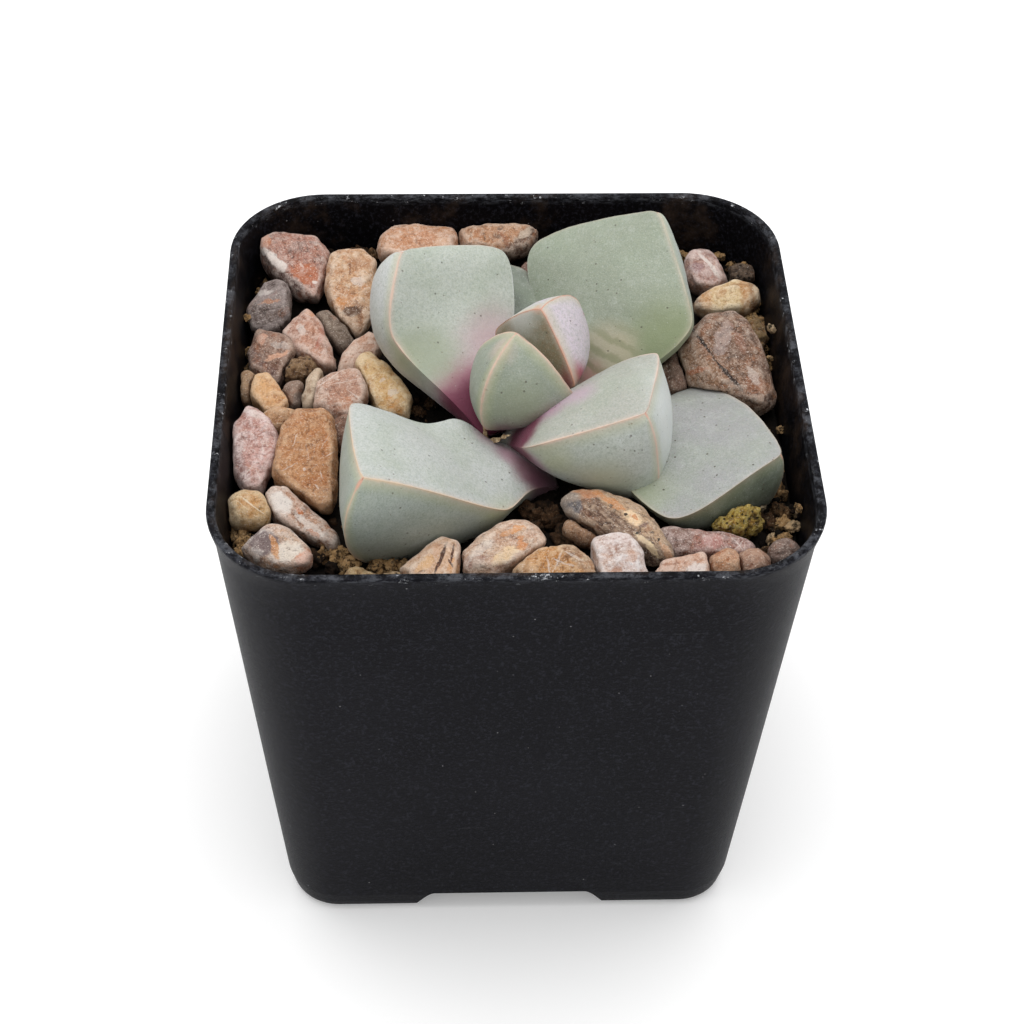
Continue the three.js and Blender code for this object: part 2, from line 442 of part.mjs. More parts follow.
function marginReach(leaf, t, widest, at, power) {
  if (t < at) {
    return leaf.neck + (widest - leaf.neck) * smooth((t - leaf.neckEnd) / (at - leaf.neckEnd));
  }
  return widest * (1 - ((t - at) / (1 - at)) ** power);
}

// the two margins and the keel at share t of the leaf's length
function leafRails(leaf, frame, t) {
  const { origin, axis, left, up } = frame;
  const reachLeft = marginReach(leaf, t, leaf.left, leaf.widestLeft, leaf.closeLeft);
  const reachRight = marginReach(leaf, t, leaf.right, leaf.widestRight, leaf.closeRight);
  const closing = Math.max(0, (t - leaf.keelAt) / (1 - leaf.keelAt));
  const depth = t < leaf.keelAt
    ? leaf.neckDepth + (leaf.depth - leaf.neckDepth) * smooth(t / leaf.keelAt)
    : leaf.depth * (1 - closing ** 2) ** leaf.keelPower;
  const onAxis = origin.clone()
    .addScaledVector(axis, t * leaf.length)
    .addScaledVector(up, -4 * leaf.sag * t * (1 - t));
  const liftLeft = leaf.liftLeft * (reachLeft / leaf.left) ** 2 * smooth(t / leaf.widestLeft);
  const liftRight = leaf.liftRight * (reachRight / leaf.right) ** 2 * smooth(t / leaf.widestRight);
  const push = leaf.chin * (depth / leaf.depth) * smooth((t - 0.3) / 0.7);
  return {
    left: onAxis.clone().addScaledVector(left, reachLeft).addScaledVector(up, liftLeft),
    right: onAxis.clone().addScaledVector(left, -reachRight).addScaledVector(up, liftRight),
    keel: onAxis.clone().addScaledVector(up, -depth).addScaledVector(axis, push),
  };
}

// points from a to b, bowed out toward the outward direction by a share of their distance
function bowed(a, b, axis, outward, bulge) {
  const chord = new THREE.Vector3().subVectors(b, a);
  const normal = new THREE.Vector3().crossVectors(chord, axis).normalize();
  if (normal.dot(outward) < 0) {
    normal.negate();
  }
  return Array.from({ length: FACE_STEPS }, (_, k) => {
    const share = k / FACE_STEPS;
    const bow = 4 * bulge * chord.length() * share * (1 - share);
    return a.clone().lerp(b, share).addScaledVector(normal, bow);
  });
}

function leafRing(leaf, frame, t) {
  const { axis, left, up } = frame;
  const rails = leafRails(leaf, frame, t);
  const roundness = 0.8 * (1 - smooth(2 * t));
  const upper = UPPER_BULGE + (NECK_BULGE - UPPER_BULGE) * roundness;
  const flank = leaf.sideBulge ?? SIDE_BULGE;
  const side = flank + (NECK_BULGE - flank) * roundness;
  const rightOut = left.clone().negate().sub(up);
  const leftOut = left.clone().sub(up);
  return [
    ...bowed(rails.left, rails.right, axis, up, upper),
    ...bowed(rails.right, rails.keel, axis, rightOut, side),
    ...bowed(rails.keel, rails.left, axis, leftOut, side),
  ];
}

function leafSkin(leaf) {
  const frame = leafFrame(leaf);
  const rings = Array.from({ length: LEAF_ROWS }, (_, row) => (
    leafRing(leaf, frame, Math.sin(((row / LEAF_ROWS) * Math.PI) / 2))
  ));
  const heel = new THREE.Vector3();
  rings[0].forEach((point) => heel.addScaledVector(point, 1 / rings[0].length));
  heel.addScaledVector(frame.axis, -1);
  const apex = frame.origin.clone().addScaledVector(frame.axis, leaf.length);
  return loft(rings, heel, apex);
}

// ---- gravel ----
// directions spread evenly over a sphere
const DIRECTION_COUNT = 150;
const DIRECTIONS = Array.from({ length: DIRECTION_COUNT }, (_, i) => {
  const z = 1 - (2 * i + 1) / DIRECTION_COUNT;
  const turn = i * Math.PI * (3 - Math.sqrt(5));
  const across = Math.sqrt(1 - z * z);
  return new THREE.Vector3(across * Math.cos(turn), across * Math.sin(turn), z);
});

function reachAlong(geometry, direction) {
  const { position } = geometry.attributes;
  const point = new THREE.Vector3();
  let [low, high] = [Infinity, -Infinity];
  for (let i = 0; i < position.count; i += 1) {
    const along = point.fromBufferAttribute(position, i).dot(direction);
    low = Math.min(low, along);
    high = Math.max(high, along);
  }
  return { low, high };
}

// the plane across which two convex stones press least into each other, or null if they are clear
function contactPlane(first, second) {
  let best = null;
  for (const direction of DIRECTIONS) {
    const { high } = reachAlong(first, direction);
    const { low } = reachAlong(second, direction);
    const press = high + GAP - low;
    if (press <= 0) {
      return null;
    }
    if (!best || press < best.press) {
      best = { direction, press, offset: (high + low) / 2 };
    }
  }
  return best;
}

// each stone with the flat faces where its neighbours bear on it
function bedStones(skins) {
  const solids = skins.map(toSolid);
  for (let i = 0; i < skins.length; i += 1) {
    for (let j = i + 1; j < skins.length; j += 1) {
      const plane = contactPlane(skins[i], skins[j]);
      if (plane) {
        const { x, y, z } = plane.direction;
        solids[i] = solids[i].trimByPlane([-x, -y, -z], GAP / 2 - plane.offset);
        solids[j] = solids[j].trimByPlane([x, y, z], GAP / 2 + plane.offset);
      }
    }
  }
  return solids;
}

// broken stone: the hull of its upper face, shoulder, widest outline, belly and foot
function stoneSkin({ at: [x, y], rise, over, outline, upper }) {
  const back = new THREE.Vector3(0, 1, 0).applyAxisAngle(SIDEWAYS, radians(STONE_TIP));
  const out = new THREE.Vector3(0, 0, 1).applyAxisAngle(SIDEWAYS, radians(STONE_TIP));
  const middle = new THREE.Vector3(x, y, soilLevel(y) + rise);
  const place = ([across, along], size, height) => middle.clone()
    .addScaledVector(SIDEWAYS, across * size)
    .addScaledVector(back, along * size)
    .addScaledVector(out, height);
  const points = upper.map((corner) => place(corner, 1, over));
  outline.forEach((corner) => {
    const edge = place(corner, 1, 0);
    const floor = soilLevel(edge.y) + STONE_LIFT;
    edge.z = Math.max(edge.z, floor);
    const belly = place(corner, BELLY.size, 0);
    belly.z = Math.max(floor, THREE.MathUtils.lerp(belly.z, floor, BELLY.down));
    const foot = place(corner, STONE_FOOT, 0).setZ(floor);
    points.push(edge, place(corner, SHOULDER.size, SHOULDER.up * over), belly, foot);
  });
  const hull = wasm.Manifold.hull(points.map((point) => point.toArray())).getMesh();
  const geometry = new THREE.BufferGeometry();
  geometry.setAttribute('position', new THREE.BufferAttribute(new Float32Array(hull.vertProperties), 3));
  geometry.setIndex(Array.from(hull.triVerts));
  return geometry;
}

// worn pebble: a ball squared off and flattened by broken planes, stretched to its size
function pebbleSkin([, x, y, length, width, height, turn, blocky]) {
  const ball = new THREE.IcosahedronGeometry(1, 1);
  ball.deleteAttribute('normal');
  ball.deleteAttribute('uv');
  const geometry = mergeVertices(ball, WELD);
  const planes = Array.from({ length: PEBBLE.planes }, () => ({
    normal: new THREE.Vector3(random() - 0.5, random() - 0.5, random() - 0.5).normalize(),
    distance: PEBBLE.planeAt - blocky * (PEBBLE.planeIn + PEBBLE.planeSpread * random()),
  }));
  const { position } = geometry.attributes;
  const point = new THREE.Vector3();
  const squareness = PEBBLE.round + PEBBLE.squarer * blocky;
  for (let i = 0; i < position.count; i += 1) {
    point.fromBufferAttribute(position, i);
    const norm = point.toArray().reduce((sum, v) => sum + Math.abs(v) ** squareness, 0) ** (1 / squareness);
    point.multiplyScalar((1 + PEBBLE.rough * (random() - 0.5)) / norm);
    planes.forEach(({ normal, distance }) => {
      point.addScaledVector(normal, -Math.max(0, point.dot(normal) - distance));
    });
    position.setXYZ(i, point.x, point.y, point.z);
  }
  geometry.computeBoundingBox();
  const size = geometry.boundingBox.getSize(new THREE.Vector3());
  const middle = geometry.boundingBox.getCenter(new THREE.Vector3());
  geometry.translate(-middle.x, -middle.y, -middle.z);
  geometry.scale(length / size.x, width / size.y, height / size.z);
  geometry.scale(PEBBLE.growth, PEBBLE.growth, PEBBLE.growth);
  geometry.rotateZ(radians(turn));
  geometry.translate(x, y, soilLevel(y) + STONE_LIFT + height / 2);
  return geometry;
}

// ---- soil ----
function soilLevel(y) {
  return THREE.MathUtils.lerp(SOIL_LEVEL.front, SOIL_LEVEL.back, (y + SOIL_HALF) / (2 * SOIL_HALF));
}

// block whose top is a rough height field, wider than the pot, to be cut to the pot's inside
function roughBlock() {
  const cells = SOIL_CELLS;
  const width = 2 * (SOIL_HALF + SOIL_OVERLAP);
  const plane = new THREE.PlaneGeometry(width, width, cells, cells);
  const top = plane.attributes.position;
  const points = [];
  for (let i = 0; i < top.count; i += 1) {
    const y = top.getY(i);
    points.push([top.getX(i), y, soilLevel(y) + SOIL_BUMP * (2 * random() - 1)]);
  }
  const faces = Array.from(plane.index.array);
  const row = cells + 1;
  const edge = [];
  for (let k = 0; k < cells; k += 1) edge.push(k);
  for (let k = 0; k < cells; k += 1) edge.push(k * row + cells);
  for (let k = cells; k > 0; k -= 1) edge.push(cells * row + k);
  for (let k = cells; k > 0; k -= 1) edge.push(k * row);
  const first = points.length;
  edge.forEach((i) => points.push([points[i][0], points[i][1], SOIL_BLOCK_FLOOR]));
  const centre = points.length;
  points.push([0, 0, SOIL_BLOCK_FLOOR]);
  edge.forEach((i, k) => {
    const next = (k + 1) % edge.length;
    faces.push(i, edge[next], first + next, i, first + next, first + k);
    faces.push(first + k, first + next, centre);
  });
  const geometry = new THREE.BufferGeometry();
  geometry.setAttribute('position', new THREE.Float32BufferAttribute(points.flat(), 3));
  geometry.setIndex(faces);
  return toSolid(geometry);
}

function soilGrain() {
  const radius = THREE.MathUtils.lerp(GRAINS.minRadius, GRAINS.maxRadius, random());
  const grain = new THREE.OctahedronGeometry(radius, 0);
  const reach = SOIL_HALF * GRAINS.spread;
  const x = reach * (2 * random() - 1);
  const y = reach * (2 * random() - 1);
  grain.rotateX(GRAINS.turn * random());
  grain.rotateZ(GRAINS.turn * random());
  grain.scale(...GRAINS.squash);
  grain.translate(x, y, soilLevel(y) + GRAINS.sunk * radius);
  return toSolid(grain);
}

function soilSolid() {
  const inset = WALL + GAP;
  let fill = taperedSolid(inset, [inset, ...INSIDE_HEIGHTS]);
  fill = fill.subtract(channel(inset, 'x')).subtract(channel(inset, 'y'));
  let rough = roughBlock();
  for (let i = 0; i < GRAINS.count; i += 1) {
    rough = rough.add(soilGrain());
  }
  return fill.intersect(rough);
}

function stemSkin() {
  const rings = STEM_OUTLINE.map(([share, z]) => Array.from({ length: STEM.sides }, (_, k) => {
    const angle = (k / STEM.sides) * 2 * Math.PI;
    const radius = share * STEM.radius;
    return new THREE.Vector3(STEM.x + radius * Math.cos(angle), STEM.y + radius * Math.sin(angle), z);
  }));
  const foot = new THREE.Vector3(STEM.x, STEM.y, STEM.foot - 1);
  const top = new THREE.Vector3(STEM.x, STEM.y, STEM.top);
  return loft(rings, foot, top);
}

// ---- assembly ----
const group = new THREE.Group();
const insidePot = taperedSolid(WALL + GAP, [WALL + GAP, ...INSIDE_HEIGHTS, POT_HEIGHT], ABOVE_POT);

function boxesMeet(a, b) {
  return [0, 1, 2].every((i) => a.min[i] < b.max[i] && b.min[i] < a.max[i]);
}

function cutClear(solid, neighbours) {
  const box = solid.boundingBox();
  const near = neighbours.filter((other) => boxesMeet(box, other.boundingBox()));
  return largest(near.reduce((rest, other) => rest.subtract(other), solid));
}

// each leaf gives way to the younger ones listed before it, and the stem to them all
const plantClearances = [];
function growPiece(name, skin, colour, roughness) {
  group.add(toMesh(name, cutClear(toSolid(skin).intersect(insidePot), plantClearances), colour, roughness));
  plantClearances.push(toSolid(grown(skin, GAP)));
}
LEAVES.forEach((leaf) => growPiece(leaf.name, leafSkin(leaf), leaf.colour, ROUGHNESS.leaf));
growPiece('stem', stemSkin(), COLOUR.stem, ROUGHNESS.stem);

const gravel = [
  ...STONES.map((stone) => ({ name: stone.name, colour: stone.colour, skin: stoneSkin(stone) })),
  ...PEBBLES.map((pebble) => ({ name: pebble[0], colour: pebble.at(-1), skin: pebbleSkin(pebble) })),
];
const gravelSkins = gravel.map(({ skin }) => skin);
bedStones(gravelSkins).forEach((solid, i) => {
  const stone = cutClear(solid.intersect(insidePot), plantClearances);
  group.add(toMesh(`stone_${gravel[i].name}`, stone, gravel[i].colour, ROUGHNESS.stone));
});

const soilNeighbours = [...plantClearances, ...gravelSkins.map((skin) => toSolid(grown(skin, GAP)))];
group.add(toMesh('soil', cutClear(soilSolid(), soilNeighbours), COLOUR.soil, ROUGHNESS.soil));
group.add(toMesh('pot', potSolid(), COLOUR.pot, ROUGHNESS.pot));

export default group;
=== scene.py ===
"""Looks for the potted lapidaria: fine leaves, tumbled gravel, gritty soil and a scuffed plastic pot."""
import json
import math
import random
import re
from types import SimpleNamespace

import bmesh
import bpy
import numpy as np
from mathutils import Matrix, Vector, noise
from mathutils.bvhtree import BVHTree

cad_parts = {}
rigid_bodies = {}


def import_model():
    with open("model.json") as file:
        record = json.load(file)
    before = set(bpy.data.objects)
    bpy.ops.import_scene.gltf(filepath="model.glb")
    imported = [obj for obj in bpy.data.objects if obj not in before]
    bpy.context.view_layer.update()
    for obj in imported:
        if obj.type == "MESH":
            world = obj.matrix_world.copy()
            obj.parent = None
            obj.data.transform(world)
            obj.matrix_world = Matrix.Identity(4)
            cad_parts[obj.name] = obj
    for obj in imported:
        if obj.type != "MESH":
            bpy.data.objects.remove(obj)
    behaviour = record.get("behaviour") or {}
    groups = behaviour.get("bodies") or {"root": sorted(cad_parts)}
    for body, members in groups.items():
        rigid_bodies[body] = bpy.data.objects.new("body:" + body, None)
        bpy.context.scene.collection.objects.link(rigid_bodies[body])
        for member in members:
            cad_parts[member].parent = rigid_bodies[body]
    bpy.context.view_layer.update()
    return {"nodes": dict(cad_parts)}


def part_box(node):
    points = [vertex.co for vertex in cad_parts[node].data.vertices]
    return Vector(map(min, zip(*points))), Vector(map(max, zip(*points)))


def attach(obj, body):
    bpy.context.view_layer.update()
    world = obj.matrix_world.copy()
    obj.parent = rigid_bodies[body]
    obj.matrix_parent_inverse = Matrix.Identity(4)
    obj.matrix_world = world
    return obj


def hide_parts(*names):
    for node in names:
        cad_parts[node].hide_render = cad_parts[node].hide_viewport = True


MM = 0.001
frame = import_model()
nodes = frame["nodes"]
SEED = 5107
rng = random.Random(SEED)
noise.seed_set(SEED)

# ---- sizes, in millimetres, as in the part's source ----
POT_HEIGHT = 63
POT_PROFILE = [  # height, outer width, plan corner radius
    (0, 50.7, 5.2), (0.8, 52.2, 5.8), (3.2, 53.2, 6.2), (22, 56.3, 7.4), (44, 59.9, 9), (60, 62.7, 10.4),
    (POT_HEIGHT, 64, 10.8),
]
WALL = 1
GAP = 0.3
CHANNEL = {"top_half": 9.6, "foot_half": 12.1, "height": 3.4}
DRAIN_HOLE = {"radius": 2.6, "reach": 16}
SOIL_LEVEL = {"back": 55.2, "front": 56, "half": 29}

LEAF_KEYS = (
    "base azimuth rise roll length left right widest_left widest_right close_left close_right lift_left "
    "lift_right depth keel_at keel_power chin neck neck_depth neck_end sag side_bulge"
).split()
LEAF_ROWS = {
    "leaf_centre_front": ((3.7, 0, 59.4), 232, 66, 0, 13.8, 6.6, 5.8, 0.5, 0.5, 1.7, 1.7, -1, -1.7, 9, 0.5,
        0.6, 1.7, 3.4, 3, 0.05, 0.2, 0.13),
    "leaf_centre_back": ((3.1, 0, 59.8), 48.5, 91, -1.5, 11.9, 5.6, 6.2, 0.48, 0.47, 1.55, 1.3, 0.2, 0.6, 8,
        0.5, 0.55, 0.6, 3.4, 2.5, 0.05, -0.9, 0.13),
    "leaf_upper_left": ((-0.5, -4.2, 59), 130.4, 36.8, 10, 22.1, 5, 12.2, 0.64, 0.74, 1.65, 1.7, -2.8, 1.1,
        10.7, 0.6, 0.6, 3.1, 4.3, 3.9, 0.05, 0.45, 0.13),
    "leaf_lower_right": ((-0.4, -5.2, 57.6), -34.9, 35.6, 7, 20.8, 9.9, 6.2, 0.8, 0.47, 1.3, 1.35, -0.3, 1,
        12.2, 0.74, 0.68, -3, 2.4, 3.2, 0.05, -1.5, 0.17),
    "leaf_upper_right": ((7.2, -0.4, 56.9), 59.8, 39.4, -11.5, 24.5, 13.6, 9.4, 0.64, 0.55, 1.7, 1.12, 0.6,
        -0.2, 10.2, 0.62, 0.63, 0, 4, 3.5, 0.07, 0.25, 0.13),
    "leaf_lower_left": ((2.4, -8.7, 56.4), 220.2, 28.9, -1.8, 27.2, 5.8, 10.7, 0.36, 0.75, 1.5, 1.15, -2.1,
        1.2, 12.5, 0.58, 0.42, 0.9, 4.1, 3.9, 0.15, -0.9, 0.13),
    "leaf_outer_right": ((8, -5.9, 57.1), -23, 15.9, -8.6, 22.9, 12.7, 10, 0.38, 0.59, 1.8, 1.75, 0, -3,
        9.2, 0.67, 0.57, 0, 4.2, 3.5, 0.04, -0.5, 0.13),
    "leaf_outer_back": ((2.3, 0.2, 57.7), 111, 18.2, -2.7, 19.7, 8, 6, 0.6, 0.81, 1.7, 1.95, 0, 0, 6.3,
        0.63, 0.6, 0, 4, 3.3, 0.05, -0.4, 0.13),
}
LEAVES = {name: SimpleNamespace(**dict(zip(LEAF_KEYS, row))) for name, row in LEAF_ROWS.items()}
UPPER_BULGE = 0.06
NECK_BULGE = 0.21
RING_COUNT = 84
FACE_STEPS = 22
RAIL_STEPS = 5
TIP_BLUNT = 0.35
TIP_REACH = 1.5

# Numbers of the colour sockets of a mix.
MIX_FIRST, MIX_SECOND, MIX_RESULT = 6, 7, 2


# ---- materials ----
def srgb(tone):
    """Linear colour of a display colour written 0xRRGGBB."""
    shares = [(tone >> shift & 255) / 255 for shift in (16, 8, 0)]
    return [s / 12.92 if s <= 0.04045 else ((s + 0.055) / 1.055) ** 2.4 for s in shares] + [1]


class Surface:
    """A material whose base colour is laid on coat by coat. A value may be a number or a socket."""

    def __init__(self, name, colour=None):
        self.material = bpy.data.materials.new(name)
        self.material.use_nodes = True
        self.tree = self.material.node_tree
        self.place = self.node("TexCoord", {}).outputs["Object"]
        self.colour = colour

    def feed(self, made, inputs):
        for key, value in inputs.items():
            if isinstance(value, bpy.types.NodeSocket):
                self.tree.links.new(value, made.inputs[key])
            else:
                made.inputs[key].default_value = value
        return made

    def node(self, kind, inputs, **settings):
        made = self.tree.nodes.new("ShaderNode" + kind)
        for key, value in settings.items():
            setattr(made, key, value)
        return self.feed(made, inputs)

    def spot(self, scale=(1000, 1000, 1000), offset=(0, 0, 0)):
        """Object coordinates in units of `scale` per metre, moved by offset."""
        return self.node("Mapping", {"Vector": self.place, "Scale": scale, "Location": offset}).outputs[0]

    def placed(self, vector, location, turn, scale):
        """vector seen from a place, turned (degrees) and measured in units of scale."""
        angles = [math.radians(a) for a in turn]
        inputs = {"Vector": vector, "Location": location, "Rotation": angles, "Scale": scale}
        return self.node("Mapping", inputs, vector_type="TEXTURE").outputs[0]

    def noise(self, vector, scale, detail=4, roughness=0.55, distortion=0, output="Fac"):
        inputs = {"Scale": scale, "Detail": detail, "Roughness": roughness, "Distortion": distortion}
        return self.node("TexNoise", {"Vector": vector, **inputs}).outputs[output]

    def cells(self, vector, scale):
        """Scattered cells: the distance from each one's middle, and its own random share."""
        made = self.node("TexVoronoi", {"Vector": vector, "Scale": scale})
        pick = self.node("SeparateColor", {"Color": made.outputs["Color"]})
        return made.outputs["Distance"], pick.outputs["Red"]

    def attribute(self, name):
        return self.node("Attribute", {}, attribute_name=name).outputs["Fac"]

    def split(self, vector):
        return self.node("SeparateXYZ", {"Vector": vector}).outputs

    def span(self, value, low, high, out_low=0, out_high=1):
        """value mapped smoothly from low..high to out_low..out_high and clamped; low may be the larger."""
        inputs = {"Value": value, "From Min": low, "From Max": high, "To Min": out_low, "To Max": out_high}
        return self.node("MapRange", inputs, interpolation_type="SMOOTHSTEP").outputs[0]

    def maths(self, operation, *values):
        return self.node("Math", dict(enumerate(values)), operation=operation).outputs[0]

    def times(self, first, *others):
        for other in others:
            first = self.maths("MULTIPLY", first, other)
        return first

    def sum(self, value, share, rest):
        """rest plus a share of value."""
        return self.maths("MULTIPLY_ADD", value, share, rest)

    def vector_maths(self, operation, *values):
        made = self.node("VectorMath", dict(enumerate(values)), operation=operation)
        return made.outputs["Value" if operation in ("LENGTH", "DISTANCE", "DOT_PRODUCT") else "Vector"]

    def mix(self, share, first, second):
        tones = [srgb(tone) if isinstance(tone, int) else tone for tone in (first, second)]
        inputs = {"Factor": share, MIX_FIRST: tones[0], MIX_SECOND: tones[1]}
        return self.node("Mix", inputs, data_type="RGBA").outputs[MIX_RESULT]

    def paint(self, tone, strength, cover, low=None, high=None, *masks):
        """Coat of tone where cover, counted from low to high where they are given, and the masks say."""
        if low is None:
            cover = self.times(cover, strength)
        else:
            cover = self.span(cover, low, high, 0, strength)
        self.colour = self.mix(self.times(cover, *masks), self.colour, tone)

    def warp(self, vector, scale, amount, detail):
        """vector pushed about by up to half of amount, so that marks drawn on it get uneven edges."""
        push = self.noise(vector, scale, detail, 0.6, output="Color")
        moved = self.vector_maths("MULTIPLY_ADD", push, (amount,) * 3, vector)
        return self.vector_maths("SUBTRACT", moved, (amount / 2,) * 3)

    def set(self, **values):
        """Values of the shader's sockets; underscores stand for spaces."""
        shader = self.tree.nodes["Principled BSDF"]
        self.feed(shader, {key.replace("_", " "): value for key, value in values.items()})

    def finish(self, height, distance, strength, **values):
        """Material with its colour, its relief (distance in mm) and the shader's other values in place."""
        relief = self.node("Bump", {"Height": height, "Distance": distance * MM, "Strength": strength})
        self.set(Base_Color=self.colour, Normal=relief.outputs["Normal"], **values)
        return self.material


# ---- mesh helpers ----
def add_object(name, data):
    piece = bpy.data.objects.new(name, data)
    bpy.context.scene.collection.objects.link(piece)
    return piece


def shade_smooth(mesh):
    mesh.polygons.foreach_set("use_smooth", [True] * len(mesh.polygons))


def mesh_object(name, points, faces, material=None):
    """Smooth-shaded object; points are in millimetres."""
    mesh = bpy.data.meshes.new(name)
    mesh.from_pydata([tuple(p) for p in np.array(points) * MM], [], faces)
    mesh.update()
    shade_smooth(mesh)
    if material:
        mesh.materials.append(material)
    return add_object(name, mesh)


def modify(piece, kind, **settings):
    modifier = piece.modifiers.new(kind, kind)
    for key, value in settings.items():
        setattr(modifier, key, value)


def apply_modifiers(piece):
    bpy.context.view_layer.update()
    shape = piece.evaluated_get(bpy.context.evaluated_depsgraph_get())
    result = bpy.data.meshes.new_from_object(shape)
    piece.modifiers.clear()
    piece.data = result


def set_attribute(piece, name, values):
    layer = piece.data.attributes.new(name, "FLOAT", "POINT")
    layer.data.foreach_set("value", np.asarray(values, dtype=np.float32))


def points_and_normals(mesh):
    """The mesh's points, in metres, and their normals: one row each."""
    points, normals = (np.empty(3 * len(mesh.vertices), dtype=np.float32) for _ in range(2))
    mesh.vertices.foreach_get("co", points)
    mesh.vertex_normals.foreach_get("vector", normals)
    return points.reshape(-1, 3), normals.reshape(-1, 3)


def displace(piece, relief):
    """Push every point along its normal by relief(point), all in millimetres."""
    points, normals = points_and_normals(piece.data)
    push = np.array([relief(Vector(p)) for p in points / MM])
    piece.data.vertices.foreach_set("co", (points + normals * push[:, None] * MM).reshape(-1))
    piece.data.update()


def smoothstep(value):
    share = np.clip(value, 0, 1)
    return share * share * (3 - 2 * share)


def loft_faces(rows, count):
    """Faces of a skin of `rows` rings of `count` points between two end points (first 0, last)."""
    faces = []
    top = 1 + (rows - 1) * count
    for k in range(count):
        n = (k + 1) % count
        faces.append((0, 1 + n, 1 + k))
        for a in range(1, top, count):
            b = a + count
            faces.append((a + k, a + n, b + n, b + k))
        faces.append((top + k, top + n, top + count))
    return faces


def loft_object(name, low, rings, high, material=None, inward=False):
    """Closed skin from the point (0, 0, low) over the rings to (0, 0, high)."""
    points = [(0, 0, low)] + [p for ring in rings for p in ring] + [(0, 0, high)]
    faces = loft_faces(len(rings), len(rings[0]))
    if inward:
        faces = [face[::-1] for face in faces]
    return mesh_object(name, points, faces, material)


def profile_at(z):
    """Outer width and plan corner radius of the pot at a height."""
    heights, widths, corners = zip(*POT_PROFILE)
    return np.interp(z, heights, widths), np.interp(z, heights, corners)


def rounded_square(width, corner, z, corner_steps=16, side_steps=8):
    """Points of a rounded square, with extra points along its straight sides."""
    diagonal = (width / 2 - corner) * math.sqrt(2)

    def on_arc(middle, angle):
        return [diagonal * way(middle) + corner * way(angle) for way in (math.cos, math.sin)]

    ring = []
    for turn in (quarter * math.pi / 2 for quarter in range(4)):
        for step in range(corner_steps + 1):
            ring.append(on_arc(turn + math.pi / 4, turn + step / corner_steps * math.pi / 2))
        start, goal = ring[-1], on_arc(turn + 3 * math.pi / 4, turn + math.pi / 2)
        for share in (step / side_steps for step in range(1, side_steps)):
            ring.append([a + share * (b - a) for a, b in zip(start, goal)])
    return [(x, y, z) for x, y in ring]


def finish_piece(piece, slot, *replaced):
    if replaced:
        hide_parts(*replaced)
    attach(piece, "root")


# ---- leaves ----
def leaf_frame(leaf):
    """Place of the leaf's base and its directions: along, left and up."""
    azimuth, rise, roll = (math.radians(angle) for angle in (leaf.azimuth, leaf.rise, leaf.roll))
    axis = Vector((math.cos(azimuth) * math.cos(rise), math.sin(azimuth) * math.cos(rise), math.sin(rise)))
    left = Vector((-math.sin(azimuth), math.cos(azimuth), 0))
    turn = Matrix.Rotation(roll, 3, axis)
    return [np.array(way, float) for way in (leaf.base, axis, turn @ left, turn @ axis.cross(left))]


def margin_reach(leaf, t, widest, at, power):
    """Half width of the leaf on one side, at shares t of its length."""
    opening = leaf.neck + (widest - leaf.neck) * smoothstep((t - leaf.neck_end) / (at - leaf.neck_end))
    closing = widest * (1 - np.clip((t - at) / (1 - at), 0, 1) ** power)
    return np.where(t < at, opening, closing)


def leaf_rails(leaf, t):
    """Lines of the two margins and the keel."""
    origin, axis, left, up = leaf_frame(leaf)
    closing = np.clip((t - leaf.keel_at) / (1 - leaf.keel_at), 0, 1)
    opening = leaf.neck_depth + (leaf.depth - leaf.neck_depth) * smoothstep(t / leaf.keel_at)
    closed = leaf.depth * np.clip(1 - closing**2, 0, 1) ** leaf.keel_power
    depth = np.where(t < leaf.keel_at, opening, closed)
    line = origin + np.outer(t * leaf.length, axis) + np.outer(-4 * leaf.sag * t * (1 - t), up)
    rails = {}
    for side, sign, widest, at, power, lift in (
            ("left", 1, leaf.left, leaf.widest_left, leaf.close_left, leaf.lift_left),
            ("right", -1, leaf.right, leaf.widest_right, leaf.close_right, leaf.lift_right)):
        reach = margin_reach(leaf, t, widest, at, power)
        rise = lift * (reach / widest) ** 2 * smoothstep(t / at)
        rails[side] = line + sign * np.outer(reach, left) + np.outer(rise, up)
    push = leaf.chin * (depth / leaf.depth) * smoothstep((t - 0.3) / 0.7)
    rails["keel"] = line - np.outer(depth, up) + np.outer(push, axis)
    return rails


